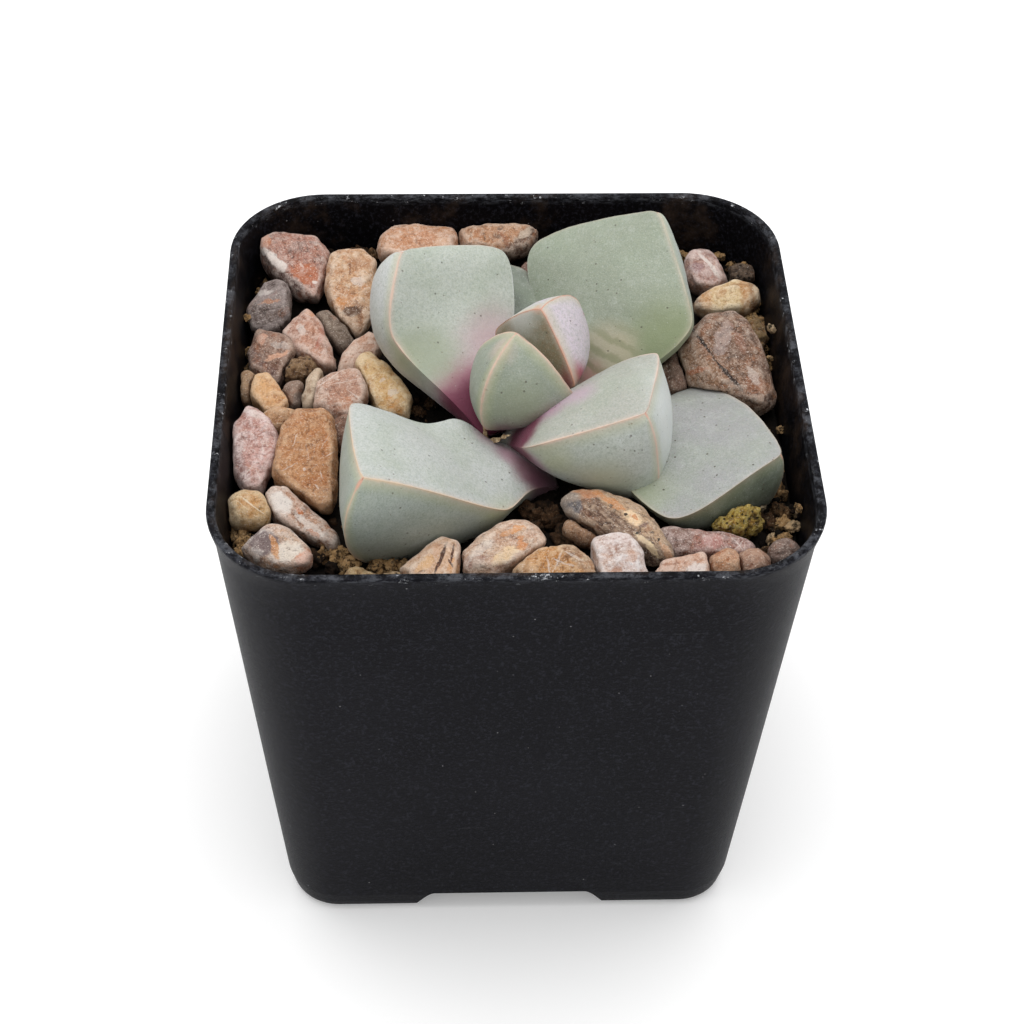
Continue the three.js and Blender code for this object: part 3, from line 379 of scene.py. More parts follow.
def leaf_mesh(name, leaf, material, lines, swells):
    """Closed leaf with margins and keel, and attributes that say where each point lies on it."""
    origin, axis, left, up = leaf_frame(leaf)
    t = np.sin(np.arange(RING_COUNT) / RING_COUNT * math.pi / 2)
    rails = leaf_rails(leaf, t)
    for rail in rails.values():
        for _ in range(RAIL_STEPS):
            rail[1:-1] = (rail[:-2] + 2 * rail[1:-1] + rail[2:]) / 4
    roundness = 0.8 * (1 - smoothstep(2 * t))
    upper, under = (bulge + (NECK_BULGE - bulge) * roundness for bulge in (UPPER_BULGE, leaf.side_bulge))
    columns, edges, sides, drawn = [], [], [], []
    for start, end, outward_way, bulge, flag in (
            ("left", "right", up, upper, 0),
            ("right", "keel", -left - up, under, 1),
            ("keel", "left", left - up, under, 1)):
        chord = rails[end] - rails[start]
        length = np.linalg.norm(chord, axis=1)
        normal = np.cross(chord, axis)
        normal /= np.maximum(np.linalg.norm(normal, axis=1), 1e-9)[:, None]
        normal *= np.where(normal @ outward_way < 0, -1, 1)[:, None]
        for s in 0.5 - 0.5 * np.cos(np.arange(FACE_STEPS) / FACE_STEPS * math.pi):
            bow = (4 * bulge * length * s * (1 - s))[:, None]
            columns.append(rails[start] * (1 - s) + rails[end] * s + normal * bow)
            edges.append(length * min(s, 1 - s))
            sides.append(np.full(RING_COUNT, flag))
            strength, begins, full = lines[start if s < 0.5 else end]
            drawn.append(strength * smoothstep((t - begins) / (full - begins)))
    grid = np.stack(columns, 1)
    count = grid.shape[1]
    apex = origin + axis * leaf.length
    points = np.vstack([grid[0].mean(0) - axis, grid.reshape(-1, 3), apex])
    from_tip = np.linalg.norm(points - apex, axis=1)
    points -= np.outer(TIP_BLUNT * np.clip(1 - from_tip / TIP_REACH, 0, 1) ** 2, axis)
    for place, reach, push in swells:
        share = np.exp(-(np.linalg.norm(points - np.array(place), axis=1) / reach) ** 2)
        points += np.outer(share, push)
    piece = mesh_object(name, points, loft_faces(RING_COUNT, count), material)
    displace(piece, lambda spot: 0.11 * noise.noise(spot * 0.28) + 0.035 * noise.noise(spot * 0.9) - 0.05)
    for key, heel, table, tip in (("edge_mm", 5, edges, 0), ("under", 1, sides, 0.5),
                                  ("along", 0, [t] * count, 1), ("line", 0, drawn, 1)):
        set_attribute(piece, key, [heel, *np.stack(table, 1).reshape(-1), tip])
    return piece


MAGENTA = 0x64203a
# Plum: the leaves' own purple near their bases, deepened as painted shade where the leaves meet.
PLUM = 0x5c2c40
MAUVE_BLUSH = 0xb2929e
LAVENDER = 0xba9eb2
YELLOW_GREEN = 0xb0b47e
PEACH_LINE = 0xd8b8a6
FOLD_ACROSS = (0.55, 0.62, 0.56)
PLAIN_LINES = dict.fromkeys(("left", "right", "keel"), (1, 0.16, 0.42))
# Upper, under and line are display colours. Upper and under are partly the leaf's own colours and partly
# painted light and shade, set to how light falls on each face.
# A stain is a point (mm), the distance where it is full and where it has faded, its colour and strength.
# A line's row is its strength and the shares of the leaf's length where it begins and is full.
# A swell is a point (mm), its reach and how far the skin stands out there.
# Folds are a point (mm) and the distances where they are full and have faded.
LEAF_LOOKS = {
    "leaf_centre_front": dict(upper=0x807e68, under=0x8f9688, line=0xd4b2a0, stains=(
        ((0.6, -9.6, 65.6), 1, 4.6, 0x92987e, 0.5), ((-1.4, -8.4, 61), 0.6, 4.2, PLUM, 0.9),
        ((3.4, -8, 63), 0.3, 3.4, 0x96706c, 0.55), ((-1.4, -5.6, 70.6), 0.2, 2.4, 0xceb2a6, 0.4))),
    # This leaf's olive-brown upper colour is painted shade, where it stands close among the other leaves.
    "leaf_centre_back": dict(upper=0x827054, under=0xcabec8, line=0xc28a70, stains=(
        ((7, -4.4, 65), 0.5, 3, 0x96344a, 0.9), ((7.8, 3.1, 68.1), 0.05, 0.3, 0x8c2438, 1),
        ((0.4, 0.6, 70), 0.5, 4, 0xc4c6c4, 0.6), ((2.4, 0, 71.4), 0.1, 1, 0xc47854, 0.7))),
    "leaf_upper_left": dict(upper=0xb4b9b0, under=0xc6c8c6, line=PEACH_LINE,
        lines={"right": (0.5, 0.74, 0.86), "left": (1, 0.42, 0.6), "keel": (0.3, 0.3, 0.6)}, stains=(
        ((-1.8, 2.6, 63.2), 1.5, 6.5, 0xb28e98, 0.6), ((-4.6, -3.4, 61.8), 2.2, 6, 0x925468, 0.9),
        ((-3.6, -5.6, 60.4), 3.4, 6, MAGENTA, 1), ((-0.6, 5.5, 64), 0.4, 5.5, 0xbea4a8, 0.45),
        ((-12.2, 0.8, 63.4), 0.3, 3.4, YELLOW_GREEN, 0.5), ((-9.4, 0.8, 64.2), 1.4, 5.6, 0x8c937c, 0.75))),
    "leaf_lower_right": dict(upper=0xa6a69e, under=0xc0c6c0, line=PEACH_LINE,
        lines={"right": (1, 0.3, 0.5), "left": (0.8, 0.5, 0.75)}, stains=(
        ((3.6, -8.6, 64.4), 0.6, 3.6, 0xac829c, 0.8), ((6.6, -8.2, 66.4), 0.4, 3.2, LAVENDER, 0.6),
        ((2.2, -12.6, 61.6), 0.8, 3.4, 0xa67490, 0.7), ((0.4, -10.2, 62), 2.4, 4.6, MAGENTA, 1),
        ((4.2, -15.6, 63.3), 0.3, 3.2, YELLOW_GREEN, 0.4), ((9, -18, 60), 1, 6, 0xacb292, 0.4),
        # The near-white patch on the right-facing side is painted light, where that side catches the most
        # light.
        ((17.5, -10.5, 64.5), 2, 8, 0xdee2e2, 0.7), ((8.8, -16.5, 61), 1.2, 4.4, 0xa6ab94, 0.5))),
    # This leaf's upper colour is darker and greener than the others': painted shade from the leaves round
    # it.
    "leaf_upper_right": dict(upper=0x929988, under=0xa0a8a0, line=0xcac0aa,
        folds=((10.6, 2.8, 62.2), 2, 5.2), lines={"left": (0.4, 0.6, 0.75), "right": (0.75, 0.3, 0.6)},
        stains=(((17.4, 1.6, 64.2), 2, 8.5, 0x7a845c, 0.75), ((8.8, 1.4, 60.8), 0.5, 2.4, 0xbe6078, 0.85))),
    "leaf_lower_left": dict(upper=0xb6b9b6, under=0x9ea69e, line=0xd0b496,
        lines={"right": (1, 0.72, 0.82), "left": (0.9, 0.1, 0.3)},
        swells=(((-6, -7.4, 60.6), 3.2, (-0.3, 1.2, 2.5)),), stains=(
        # These stains deepen from mauve to plum towards the next leaf: the leaf's own mauve, with painted
        # shade where the two meet.
        ((-3.4, -8.6, 60.4), 0.4, 2.6, MAUVE_BLUSH, 0.6), ((-0.6, -10.6, 59.9), 0.5, 2.6, 0x9e7082, 0.75),
        ((1.4, -12.4, 59), 0.8, 3.2, 0x845262, 0.85), ((4, -13.4, 57.2), 1.6, 4.4, PLUM, 0.9),
        ((-1.6, -19.6, 59.2), 0.3, 3.6, YELLOW_GREEN, 0.35))),
    "leaf_outer_right": dict(upper=0x9a999a, under=0x565f4e, line=0xb8a68c, spots=0.9,
        lines={"left": (0.5, 0.2, 0.5), "right": (0.55, 0.2, 0.5), "keel": (0.3, 0.2, 0.5)},
        stains=(((12, -16.4, 60), 1, 6, 0x96a076, 0.5),)),
    # This leaf sits in shadow at the back: its dark upper and under colours are painted shade.
    "leaf_outer_back": dict(upper=0x646a60, under=0x60665c, line=0xb0a08e,
        lines={"left": (0.3, 0.5, 0.8), "right": (0.3, 0.5, 0.8)}),
}


def leaf_material(name, upper, under, line, spots=0.6, folds=None, stains=()):
    """Waxy leaf: bloom over grey-green, peach margins, coloured stains, some of which are painted light and
    shade, and fine dots.
    """
    skin = Surface(name)
    spot = skin.spot()
    along, edge, below, drawn = (skin.attribute(key) for key in ("along", "edge_mm", "under", "line"))
    # Upper and under faces each get their own colour: partly the leaf's own, partly painted light and
    # shade.
    skin.colour = skin.mix(below, upper, under)
    skin.paint(0x96a28c, 0.35, skin.noise(spot, 0.14, 3), 0.4, 0.7)
    bloom = skin.noise(spot, 0.5, 6, 0.7)
    skin.paint(0xcccfca, 0.22, bloom, 0.45, 0.75)
    mottle = skin.noise(spot, 2.6, 5, 0.75)
    skin.paint(0x7e8a7a, 0.34, mottle, 0.42, 0.66)
    grain = skin.noise(spot, 5.6, 2, 0.8)
    skin.paint(0x6e7768, 0.36, grain, 0.5, 0.3)
    skin.paint(0xd8dbd7, 0.22, grain, 0.54, 0.72)
    uneven = skin.warp(spot, 0.45, 1.6, 4)
    for point, full, faded, tone, strength in stains:
        skin.paint(tone, strength, skin.vector_maths("DISTANCE", uneven, point), faded, full)
    if folds:
        point, full, faded = folds
        near = skin.span(skin.vector_maths("DISTANCE", uneven, point), faded, full)
        across = skin.vector_maths("DOT_PRODUCT", uneven, FOLD_ACROSS)
        stripes = skin.maths("SINE", skin.sum(across, 3.4, skin.times(bloom, 3)))
        skin.paint(0xaca088, 0.65, near)
        skin.paint(0x6c744e, 0.5, stripes, -0.4, 1, near)
    height = skin.sum(mottle, 0.6, skin.times(grain, 0.5))
    for scale, size, rare, tone, strength in (
            (0.8, 0.12, 0.4, 0x4a4236, spots), (1.5, 0.1, 0.6, 0xdee0dc, 0.35),
            (1.1, 0.1, 0.6, 0x644238, spots * 0.8)):
        distance, pick = skin.cells(spot, scale)
        dot = skin.times(skin.span(distance, size, size * 0.5), skin.span(pick, rare, rare + 0.01))
        skin.paint(tone, strength, dot)
        height = skin.sum(dot, -0.8, height)
    wobble = skin.sum(skin.noise(spot, 1.3, 3), 0.3, -0.15)
    distance = skin.maths("ADD", edge, wobble)
    skin.paint(0xaaac7a, 0.34, distance, 1.7, 0.3, drawn, below)
    skin.paint(0xcebaae, 0.34, distance, 0.9, 0.05, drawn)
    skin.paint(line, 0.75, distance, 0.32, 0, drawn)
    skin.paint(0xce8c7a, 0.6, along, 0.9965, 0.9998)
    return skin.finish(height, 0.1, 0.55, Roughness=0.52, Specular_IOR_Level=0.3, Subsurface_Weight=0.1,
                       Subsurface_Radius=(1, 0.8, 0.5), Subsurface_Scale=MM, Sheen_Weight=0.08,
                       Sheen_Roughness=0.6)


def make_leaves():
    for name, leaf in LEAVES.items():
        look = dict(LEAF_LOOKS[name])
        lines = {**PLAIN_LINES, **look.pop("lines", {})}
        swells = look.pop("swells", ())
        material = leaf_material(name + "_skin", **look)
        finish_piece(leaf_mesh(name + "_fine", leaf, material, lines, swells), "leaf", name)


# ---- gravel ----
def stone(*tones, **marks):
    return {"tones": tones, **marks}


# Each look: main, second, dark and pale display colours, and any of
#   haze, specks, flecks, rough: how much cloudy pale, white specks, dark flecks and coarse relief it has
#   streaks: (direction in degrees, strength)
#   zones: (direction, distance from the middle, softness, colour, strength): all beyond it is coloured
#   blots: (right, up, half length, half width, turn, colour, strength), on the tipped upper side, in mm
WHITE = 0xe2d8d0
STONE_LOOKS = {
    "orange_big": stone(0xac7448, 0xbc865a, 0x70462c, 0xdab896, blots=(
        (-0.9, 2.5, 0.8, 0.06, 70, WHITE, 0.8), (2.8, 0.9, 0.6, 0.06, 30, WHITE, 0.8),
        (-1.5, -0.5, 1, 0.05, 30, WHITE, 0.7), (1.9, -1.3, 0.5, 0.06, 110, WHITE, 0.8),
        (0.1, -0.7, 0.16, 0.14, 0, WHITE, 0.9), (1.5, -2.6, 0.4, 0.08, 130, WHITE, 0.9),
        (0.4, 1.2, 1.1, 0.05, 100, WHITE, 0.5), (2.2, 2.2, 0.9, 0.05, 60, WHITE, 0.5))),
    "brown_large": stone(0x845c42, 0x70503e, 0x3a2820, 0xc8b4a4, specks=0.6, flecks=0.6, streaks=(-35, 0.3),
        zones=((215, 1.4, 0.7, 0x9c785c, 0.65),), blots=(
        (-0.4, 2.8, 2.2, 0.9, 68, 0xbcaaa4, 0.5), (1.4, 2.6, 1.6, 0.5, 110, 0x966854, 0.5),
        (-3.4, -0.9, 1.5, 0.4, 8, 0xb06c4a, 0.65), (2.6, -2.4, 1.4, 1, 100, 0x965c3c, 0.5),
        (2.6, -1.5, 1.2, 0.5, 120, WHITE, 0.4), (4.2, -4, 0.6, 0.6, 0, 0x46322c, 0.7),
        (-2.9, 2.6, 2.2, 0.24, -58, 0x2c1e19, 1), (-0.2, -1.4, 2.6, 0.26, -53, 0x2c1e19, 1))),
    "striped_big": stone(0x64483a, 0x765846, 0x362620, 0xc8b098, haze=0.2, streaks=(-42, 0.6),
        zones=((48, 1.2, 0.8, 0xceac8a, 0.75), (290, 2.8, 1.2, 0x543e30, 0.8)), blots=(
        (-4.9, 2.8, 1.2, 1.9, 20, 0x706e70, 0.9), (-3.2, 3.9, 1.6, 0.6, -12, 0xc4865e, 0.7),
        (-0.6, 3, 2.2, 0.3, -32, 0xce8a52, 0.7), (1.6, 1.2, 1.1, 0.6, -45, 0xf0d2ac, 0.9),
        (1.7, 1.3, 0.5, 0.2, -45, 0xce844c, 0.8), (2.9, -1.6, 1.9, 0.34, -42, 0xf2dab2, 0.9),
        (0.9, 1.6, 0.2, 0.14, 20, 0x2c1e1a, 0.95), (3.4, -0.3, 0.22, 0.16, 0, 0x2c1e1a, 0.95),
        (1.9, -0.4, 0.18, 0.16, 0, 0x3c3c38, 0.95), (4.1, -1, 0.17, 0.16, 0, 0x282826, 0.95),
        (2.6, 0.4, 0.5, 0.25, 30, 0x785c54, 0.8), (4.8, -2.2, 1.2, 0.3, -60, 0xca8c5c, 0.6))),
    "tan_tall": stone(0xbc8a62, 0xc89e78, 0x744c32, 0xe4d0ba, haze=0.6, specks=0.7,
        zones=((270, 1.5, 1.2, 0x966a4a, 0.6),), blots=(
        (-0.9, -0.9, 1, 0.7, 20, 0xcc884a, 0.6), (0.2, -2.2, 1.3, 0.6, 10, 0x543a2a, 0.9),
        (1.4, 3.8, 1.6, 0.5, -10, 0xaa7a58, 0.5), (1, 1.6, 0.7, 0.5, 0, WHITE, 0.5))),
    "mauve_tall": stone(0xb8887c, 0xc89c92, 0x78524a, 0xe6d4d0, haze=0.8, specks=0.9,
        zones=((200, 1.5, 0.8, 0x7c5854, 0.7), (0, 2, 0.8, 0x8c625a, 0.6)), blots=(
        (-0.4, 4.2, 1.6, 0.4, -20, WHITE, 0.5), (-0.6, -1.8, 1, 0.06, 50, WHITE, 0.8),
        (0.3, -2.5, 0.9, 0.06, 120, WHITE, 0.8), (-0.9, -3, 0.8, 0.06, 30, WHITE, 0.7),
        (0.6, 0.6, 0.9, 0.06, 100, WHITE, 0.6))),
    "redbrown": stone(0xa06854, 0xac7866, 0x4e342e, 0xd6c4ba, haze=0.45, specks=0.5, flecks=0.4,
        streaks=(-60, 0.35), zones=((227, 0.7, 0.6, 0x42302e, 0.85),), blots=(
        (1.2, -0.4, 1.9, 1.2, -40, 0xb86c48, 0.75), (-3.7, 3.8, 0.8, 1, 30, 0xbe7a54, 0.7),
        (-2.4, 1.2, 1.4, 0.5, -50, WHITE, 0.9), (-1.5, 0.5, 0.7, 0.6, 0, WHITE, 0.9),
        (-3.6, 2.4, 0.7, 0.4, -40, WHITE, 0.8), (0.8, 0.5, 0.5, 0.16, -50, WHITE, 0.8),
        (2.2, -1.6, 0.4, 0.2, -30, WHITE, 0.8))),
    "cream_long": stone(0xd2a66c, 0xdcb884, 0xb07842, 0xeedebe, haze=0.5, specks=0.25, blots=(
        (-0.3, 0.6, 0.4, 0.14, 40, WHITE, 0.8), (1.2, -2.2, 1.4, 0.7, -55, 0xcc8e4e, 0.5),
        (-2.2, 3, 1.2, 0.6, 20, 0xdebe90, 0.6), (0.9, -0.8, 0.7, 0.4, 0, WHITE, 0.5))),
    "pink_angular": stone(0xb6826a, 0xc4947c, 0x7a4c38, 0xdecabe, haze=0.5, streaks=(74, 0.45),
        zones=((270, 2.7, 0.6, 0xa4704a, 0.8), (180, 1.2, 1, 0xa87c6c, 0.5)), blots=(
        (0.1, 3.4, 0.6, 0.6, 0, 0xd09670, 0.7), (1.3, 0.4, 0.3, 1.5, -14, 0xac6250, 0.5),
        (-0.8, 1.4, 0.5, 0.9, 10, WHITE, 0.5))),
    "orange_back": stone(0xcc9876, 0xc28a62, 0x8c5e42, 0xe8d4c4, haze=0.5, specks=0.6,
        blots=((3, 0.6, 1.2, 0.8, 0, 0xdebaa0, 0.6), (-1.8, 0.8, 1.2, 0.6, 10, 0xbc7c50, 0.5))),
    "brown_back": stone(0xb6825c, 0xc09270, 0x4c382e, 0xdecab8, haze=0.4, flecks=0.5,
        zones=((-52, 0.5, 0.8, 0x624e44, 0.85),),
        blots=((3.1, 1.3, 1.1, 0.5, 35, 0xcebaa6, 0.8), (0.6, 0.8, 1.2, 0.3, -60, 0x966044, 0.6))),
    "tan_front": stone(0xbc9278, 0xcaa68a, 0x785442, 0xe8d8c8, haze=0.45, specks=0.6, streaks=(34, 0.4),
        blots=(
        (1.3, 2.3, 0.9, 0.45, 20, 0xd49258, 0.8), (0.2, 1.9, 0.9, 0.4, 30, 0xce9260, 0.7),
        (1.6, 0.6, 0.8, 0.5, 10, 0xce8852, 0.8), (1.4, 1.2, 0.5, 0.2, 60, 0xce8852, 0.7),
        (0, -0.3, 1.7, 0.7, 30, 0xeccea4, 0.75), (-3.3, -1, 1.5, 0.8, 20, 0x92726c, 0.6),
        (-2.4, 0.4, 1.6, 0.5, 32, WHITE, 0.45), (-3.6, -0.7, 0.7, 0.1, 60, WHITE, 0.7))),
    "veined": stone(0xb0826c, 0xbc927c, 0x704e40, 0xe2d0c2, haze=0.35, specks=0.9,
        zones=((300, 2.2, 0.8, 0x705040, 0.7), (180, 2, 0.6, 0xbe8c6c, 0.4)), blots=(
        (-1.1, 2.2, 2.4, 0.07, 35, WHITE, 0.8), (1.6, 0.1, 1.3, 0.06, -40, WHITE, 0.8),
        (0.5, 1.7, 2, 0.06, 12, WHITE, 0.6), (0.5, -0.8, 0.9, 0.8, 0, 0xbe7c54, 0.5))),
    "orange_front": stone(0xb88048, 0xc4925e, 0x664228, 0xe2caac, haze=0.4, specks=0.5,
        zones=((42, 2, 0.7, 0x96745c, 0.8), (180, 2.6, 1, 0x966a42, 0.6)), blots=(
        (0.4, 1, 1.3, 0.08, 62, WHITE, 0.8), (1.1, 0.7, 1.3, 0.08, -18, WHITE, 0.8),
        (-0.6, 0.4, 0.9, 0.08, 100, WHITE, 0.8), (2, 1.4, 1.2, 0.1, -28, WHITE, 0.7))),
    "mauve_long": stone(0x94665c, 0x865c50, 0x4a322c, 0xd2beb8, haze=0.4, specks=0.9,
        zones=((180, 1.6, 1, 0x7e6458, 0.8),), blots=(
        (0.2, 0.5, 1.2, 0.8, 0, 0xbe8c84, 0.7), (2.6, -0.3, 1.4, 0.07, 40, WHITE, 0.8),
        (2.9, 0.2, 1.2, 0.07, -50, WHITE, 0.8), (3.6, -0.4, 0.8, 0.07, 80, WHITE, 0.8),
        (1.8, -0.3, 0.5, 0.3, 0, 0x503a34, 0.6))),
    "diagonal_left": stone(0xa8785a, 0xb88a6c, 0x5e4032, 0xe4d8ce, haze=0.8, specks=0.8, flecks=0.5,
        streaks=(-40, 0.4), zones=((-40, 3.6, 0.6, 0x684c3e, 0.7), (225, 1.2, 0.5, 0x684838, 0.7)), blots=(
        (-2.3, 1.9, 1.5, 1, -30, WHITE, 0.95), (0.8, -0.5, 2.4, 0.5, -40, WHITE, 0.6),
        (-0.2, 1, 0.5, 0.3, 0, 0xbe7040, 0.8), (1.2, -1.4, 0.9, 0.3, -30, 0xba744a, 0.8))),
    "cream_block": stone(0xd4b688, 0xdcc296, 0x9a6c40, 0xeee0c6, specks=0.1, zones=(
        (180, 2, 0.5, 0xba8048, 0.9), (180, 3.2, 0.5, 0x967e74, 0.85), (0, 1.4, 0.6, 0xb67e46, 0.9),
        (0, 2.6, 0.5, 0x8c6e52, 0.85), (268, 1.2, 0.5, 0x886030, 0.8))),
    "grey_front": stone(0xbc9478, 0xceac92, 0x6c544e, WHITE, haze=0.5, specks=0.8, flecks=0.6, blots=(
        (-1.4, 0.8, 1.7, 1.6, 20, 0x766666, 0.95), (1.2, -0.1, 1.7, 1.1, 10, 0xe6dacc, 0.85),
        (-0.3, 0.4, 0.35, 1.4, 20, 0xcc8e58, 0.8), (3.1, -1.2, 1.1, 1.3, 0, 0xd89678, 0.8),
        (-2.2, -0.9, 0.9, 0.4, -20, 0x5a4642, 0.6), (0.6, -1.5, 1.5, 0.3, -10, 0xc48454, 0.6))),
    "pink_right": stone(0xb49086, 0xc09c8c, 0x785448, 0xe0d0ca, haze=0.5,
        zones=((275, 1.2, 0.9, 0xbc8260, 0.75),), blots=(
        (0.2, 1, 2.2, 0.35, -58, WHITE, 0.75), (-1.4, 0.6, 0.9, 0.6, 0, 0x96787a, 0.7),
        (2.2, -0.4, 1.4, 0.2, -50, 0x684c44, 0.6))),
    "cracked_peach": stone(0xd4ae90, 0xdebc9e, 0xa07052, 0xeedece, haze=0.4, specks=0.2,
        zones=((0, 2.7, 0.4, 0xac8e82, 0.7),), blots=(
        (2.4, -0.5, 0.9, 1.2, 0, 0xce925c, 0.7), (-0.6, 0.2, 1.3, 0.5, 40, 0xe2b480, 0.6),
        (-1, -0.7, 0.8, 0.2, 30, 0x78543e, 0.6), (1.1, 0.8, 1.9, 0.17, 68, 0x4a2c22, 0.95),
        (2.3, 1.3, 1.1, 0.13, 80, 0x543224, 0.95), (2.1, 0.2, 0.5, 0.12, 120, 0x543224, 0.95))),
    "orangetan": stone(0xd09a66, 0xdaac7c, 0xa06c44, 0xe8ccaa, specks=0.2,
        blots=((0.9, -2.9, 1, 0.7, 40, 0xdcbe92, 0.8), (-0.8, 1, 1.2, 0.8, 0, 0xdcac7a, 0.5))),
    "white_block": stone(0xd4c2bc, 0xc4a492, 0x966c58, 0xf0eae8, haze=0.9, specks=0.6,
        blots=((-0.6, -0.8, 1.2, 0.5, 60, 0xc6967c, 0.6), (1, 1, 1, 0.4, 40, 0xc89c84, 0.5))),
    "greypurple": stone(0x584640, 0x68564e, 0x322622, 0xb0a4a0, haze=0.4, specks=0.3, flecks=0.3,
        streaks=(20, 0.4), zones=((275, 1.4, 0.8, 0x584844, 0.7),), blots=(
        (0.2, 1.5, 2.4, 1.2, 0, 0xa0928e, 0.5), (0, 0.9, 1.3, 0.22, 15, 0xb6784e, 0.6),
        (-0.6, 2, 1.2, 0.4, 10, WHITE, 0.5))),
    "brownpink": stone(0x785646, 0x8a6654, 0x3a2822, 0xc2aa9a, haze=0.4, specks=0.5,
        zones=((222, 0.5, 0.5, 0x5e4644, 0.8),), blots=(
        (0.8, 0.5, 1.8, 0.35, 22, 0xd6a488, 0.8), (-1, 2.4, 0.6, 0.7, 0, 0xce9c84, 0.7),
        (1.2, 1.6, 1.2, 0.4, -10, WHITE, 0.35))),
    "grey_slim": stone(0x604e40, 0x6e5c4e, 0x382c22, 0x98887a, specks=0.3,
        blots=((-0.6, 1.2, 1.8, 0.4, -45, 0x827262, 0.6),)),
    "tan_corner": stone(0xc2947a, 0xcca088, 0x885e4a, 0xe4d4c8, haze=0.4, specks=0.5,
        blots=((1.4, 0.5, 1.4, 0.6, 10, 0xe0d4ce, 0.85), (-0.8, 0.8, 0.6, 0.1, 60, 0x8c5a42, 0.5))),
    "pinktan_small": stone(0xc2967c, 0xcea690, 0x906048, 0xe4d2c4, haze=0.6, streaks=(40, 0.3),
        blots=((0.4, -0.6, 0.8, 0.4, 20, 0xc88c62, 0.6),)),
    "dark_right": stone(0x6a4a3c, 0x7a5848, 0x3e2a22, 0xa08878, streaks=(-60, 0.5)),
    "cream_small": stone(0xb2967a, 0xc0a68a, 0x7a5e48, 0xdeceb8, haze=0.4, specks=0.2),
    "yellow_grain": stone(0x82641c, 0x9a7a2c, 0x261d0c, 0xd0ba68, haze=0.2, specks=0, flecks=1, rough=1.1,
        blots=(
        (0.4, 0.2, 0.26, 0.22, 0, 0x1e160c, 1), (0.9, 0.6, 0.24, 0.2, 0, 0x1e160c, 1),
        (-0.8, -0.4, 0.9, 0.3, 20, 0x54461a, 0.8))),
    "yellow_round": stone(0xc69250, 0xba8e5a, 0x745634, 0xe2ceac, haze=0.4, specks=0.2,
        zones=((205, 1, 1.2, 0x96846c, 0.75), (90, 1.3, 0.9, 0xd2ba96, 0.6)),
        blots=((0.3, 0.7, 1.7, 0.09, -38, 0xece2ce, 0.6), (-0.9, 0.9, 1.2, 0.06, -38, 0xe2d6be, 0.4))),
    "orange_small": stone(0xa4663e, 0xb47e58, 0x5a3824, 0xd6b89e),
    "pink_corner": stone(0x8c5e48, 0x986e58, 0x4a3024, 0xc4a894),
    "grey_corner": stone(0x604a40, 0x70584e, 0x382821, 0x9e8a80, specks=0.3, streaks=(60, 0.3)),
    "dark_small": stone(0x745646, 0x866654, 0x423028, 0xa49284, specks=0.3,
        blots=((0.6, -0.4, 0.8, 1, 0, 0x78706c, 0.6),)),
    "dark_back": stone(0x62463c, 0x705246, 0x382822, 0x967a6e, haze=0.2, specks=0.3),
    "brown_slim": stone(0x885c3e, 0x966c4c, 0x503424, 0xbe9e82, specks=0.5, streaks=(-22, 0.5)),
    "tan_behind": stone(0xc49872, 0xd0a884, 0x845c42, 0xe6d0b6, haze=0.5, streaks=(10, 0.3)),
    "rose_behind": stone(0xac7e70, 0xbc9080, 0x68483e, 0xdecac0, haze=0.5, specks=0.5, streaks=(-30, 0.3)),
    "grey_behind": stone(0x8e7a70, 0x9e8c82, 0x58463e, 0xcec0b8, haze=0.4, streaks=(20, 0.4)),
    "tan_under": stone(0xc0946c, 0xcca27c, 0x825a3e, 0xe2caac, haze=0.4),
    "brown_wall": stone(0x5e4628, 0x6c5434, 0x2c2014, 0x9c825c, specks=0, flecks=0.8, rough=1),
    "cream_gap": stone(0x6e4e32, 0x7e5e40, 0x38261a, 0xac8e6a, specks=0, flecks=0.7, rough=0.9),
    "rose_gap": stone(0x6a4838, 0x7a5644, 0x36241c, 0xa08472),
    "tan_wall": stone(0x805c3e, 0x906c4e, 0x463022, 0xba9e80),
    "brown_gap": stone(0xb07c50, 0xbc8c62, 0x62402a, 0xdabe9e),
    "tan_grit": stone(0xac8a5e, 0xbc9c72, 0x684e30, 0xd6be96, specks=0, flecks=0.9, rough=1),
    "dark_grit": stone(0x967854, 0xa88a64, 0x543e2a, 0xc8ae8a, specks=0, flecks=0.9, rough=1),
    "pale_grit": stone(0xa08e70, 0xb09e80, 0x68543c, 0xd0c0a4, specks=0, flecks=0.8, rough=0.9),
    "greybrown_wall": stone(0x46362a, 0x544234, 0x241a14, 0x806c5a, specks=0, flecks=0.7, rough=0.7),
}
MARK_TIP = 45.5
SIDE_REACH = 1000
THIN = 0.2


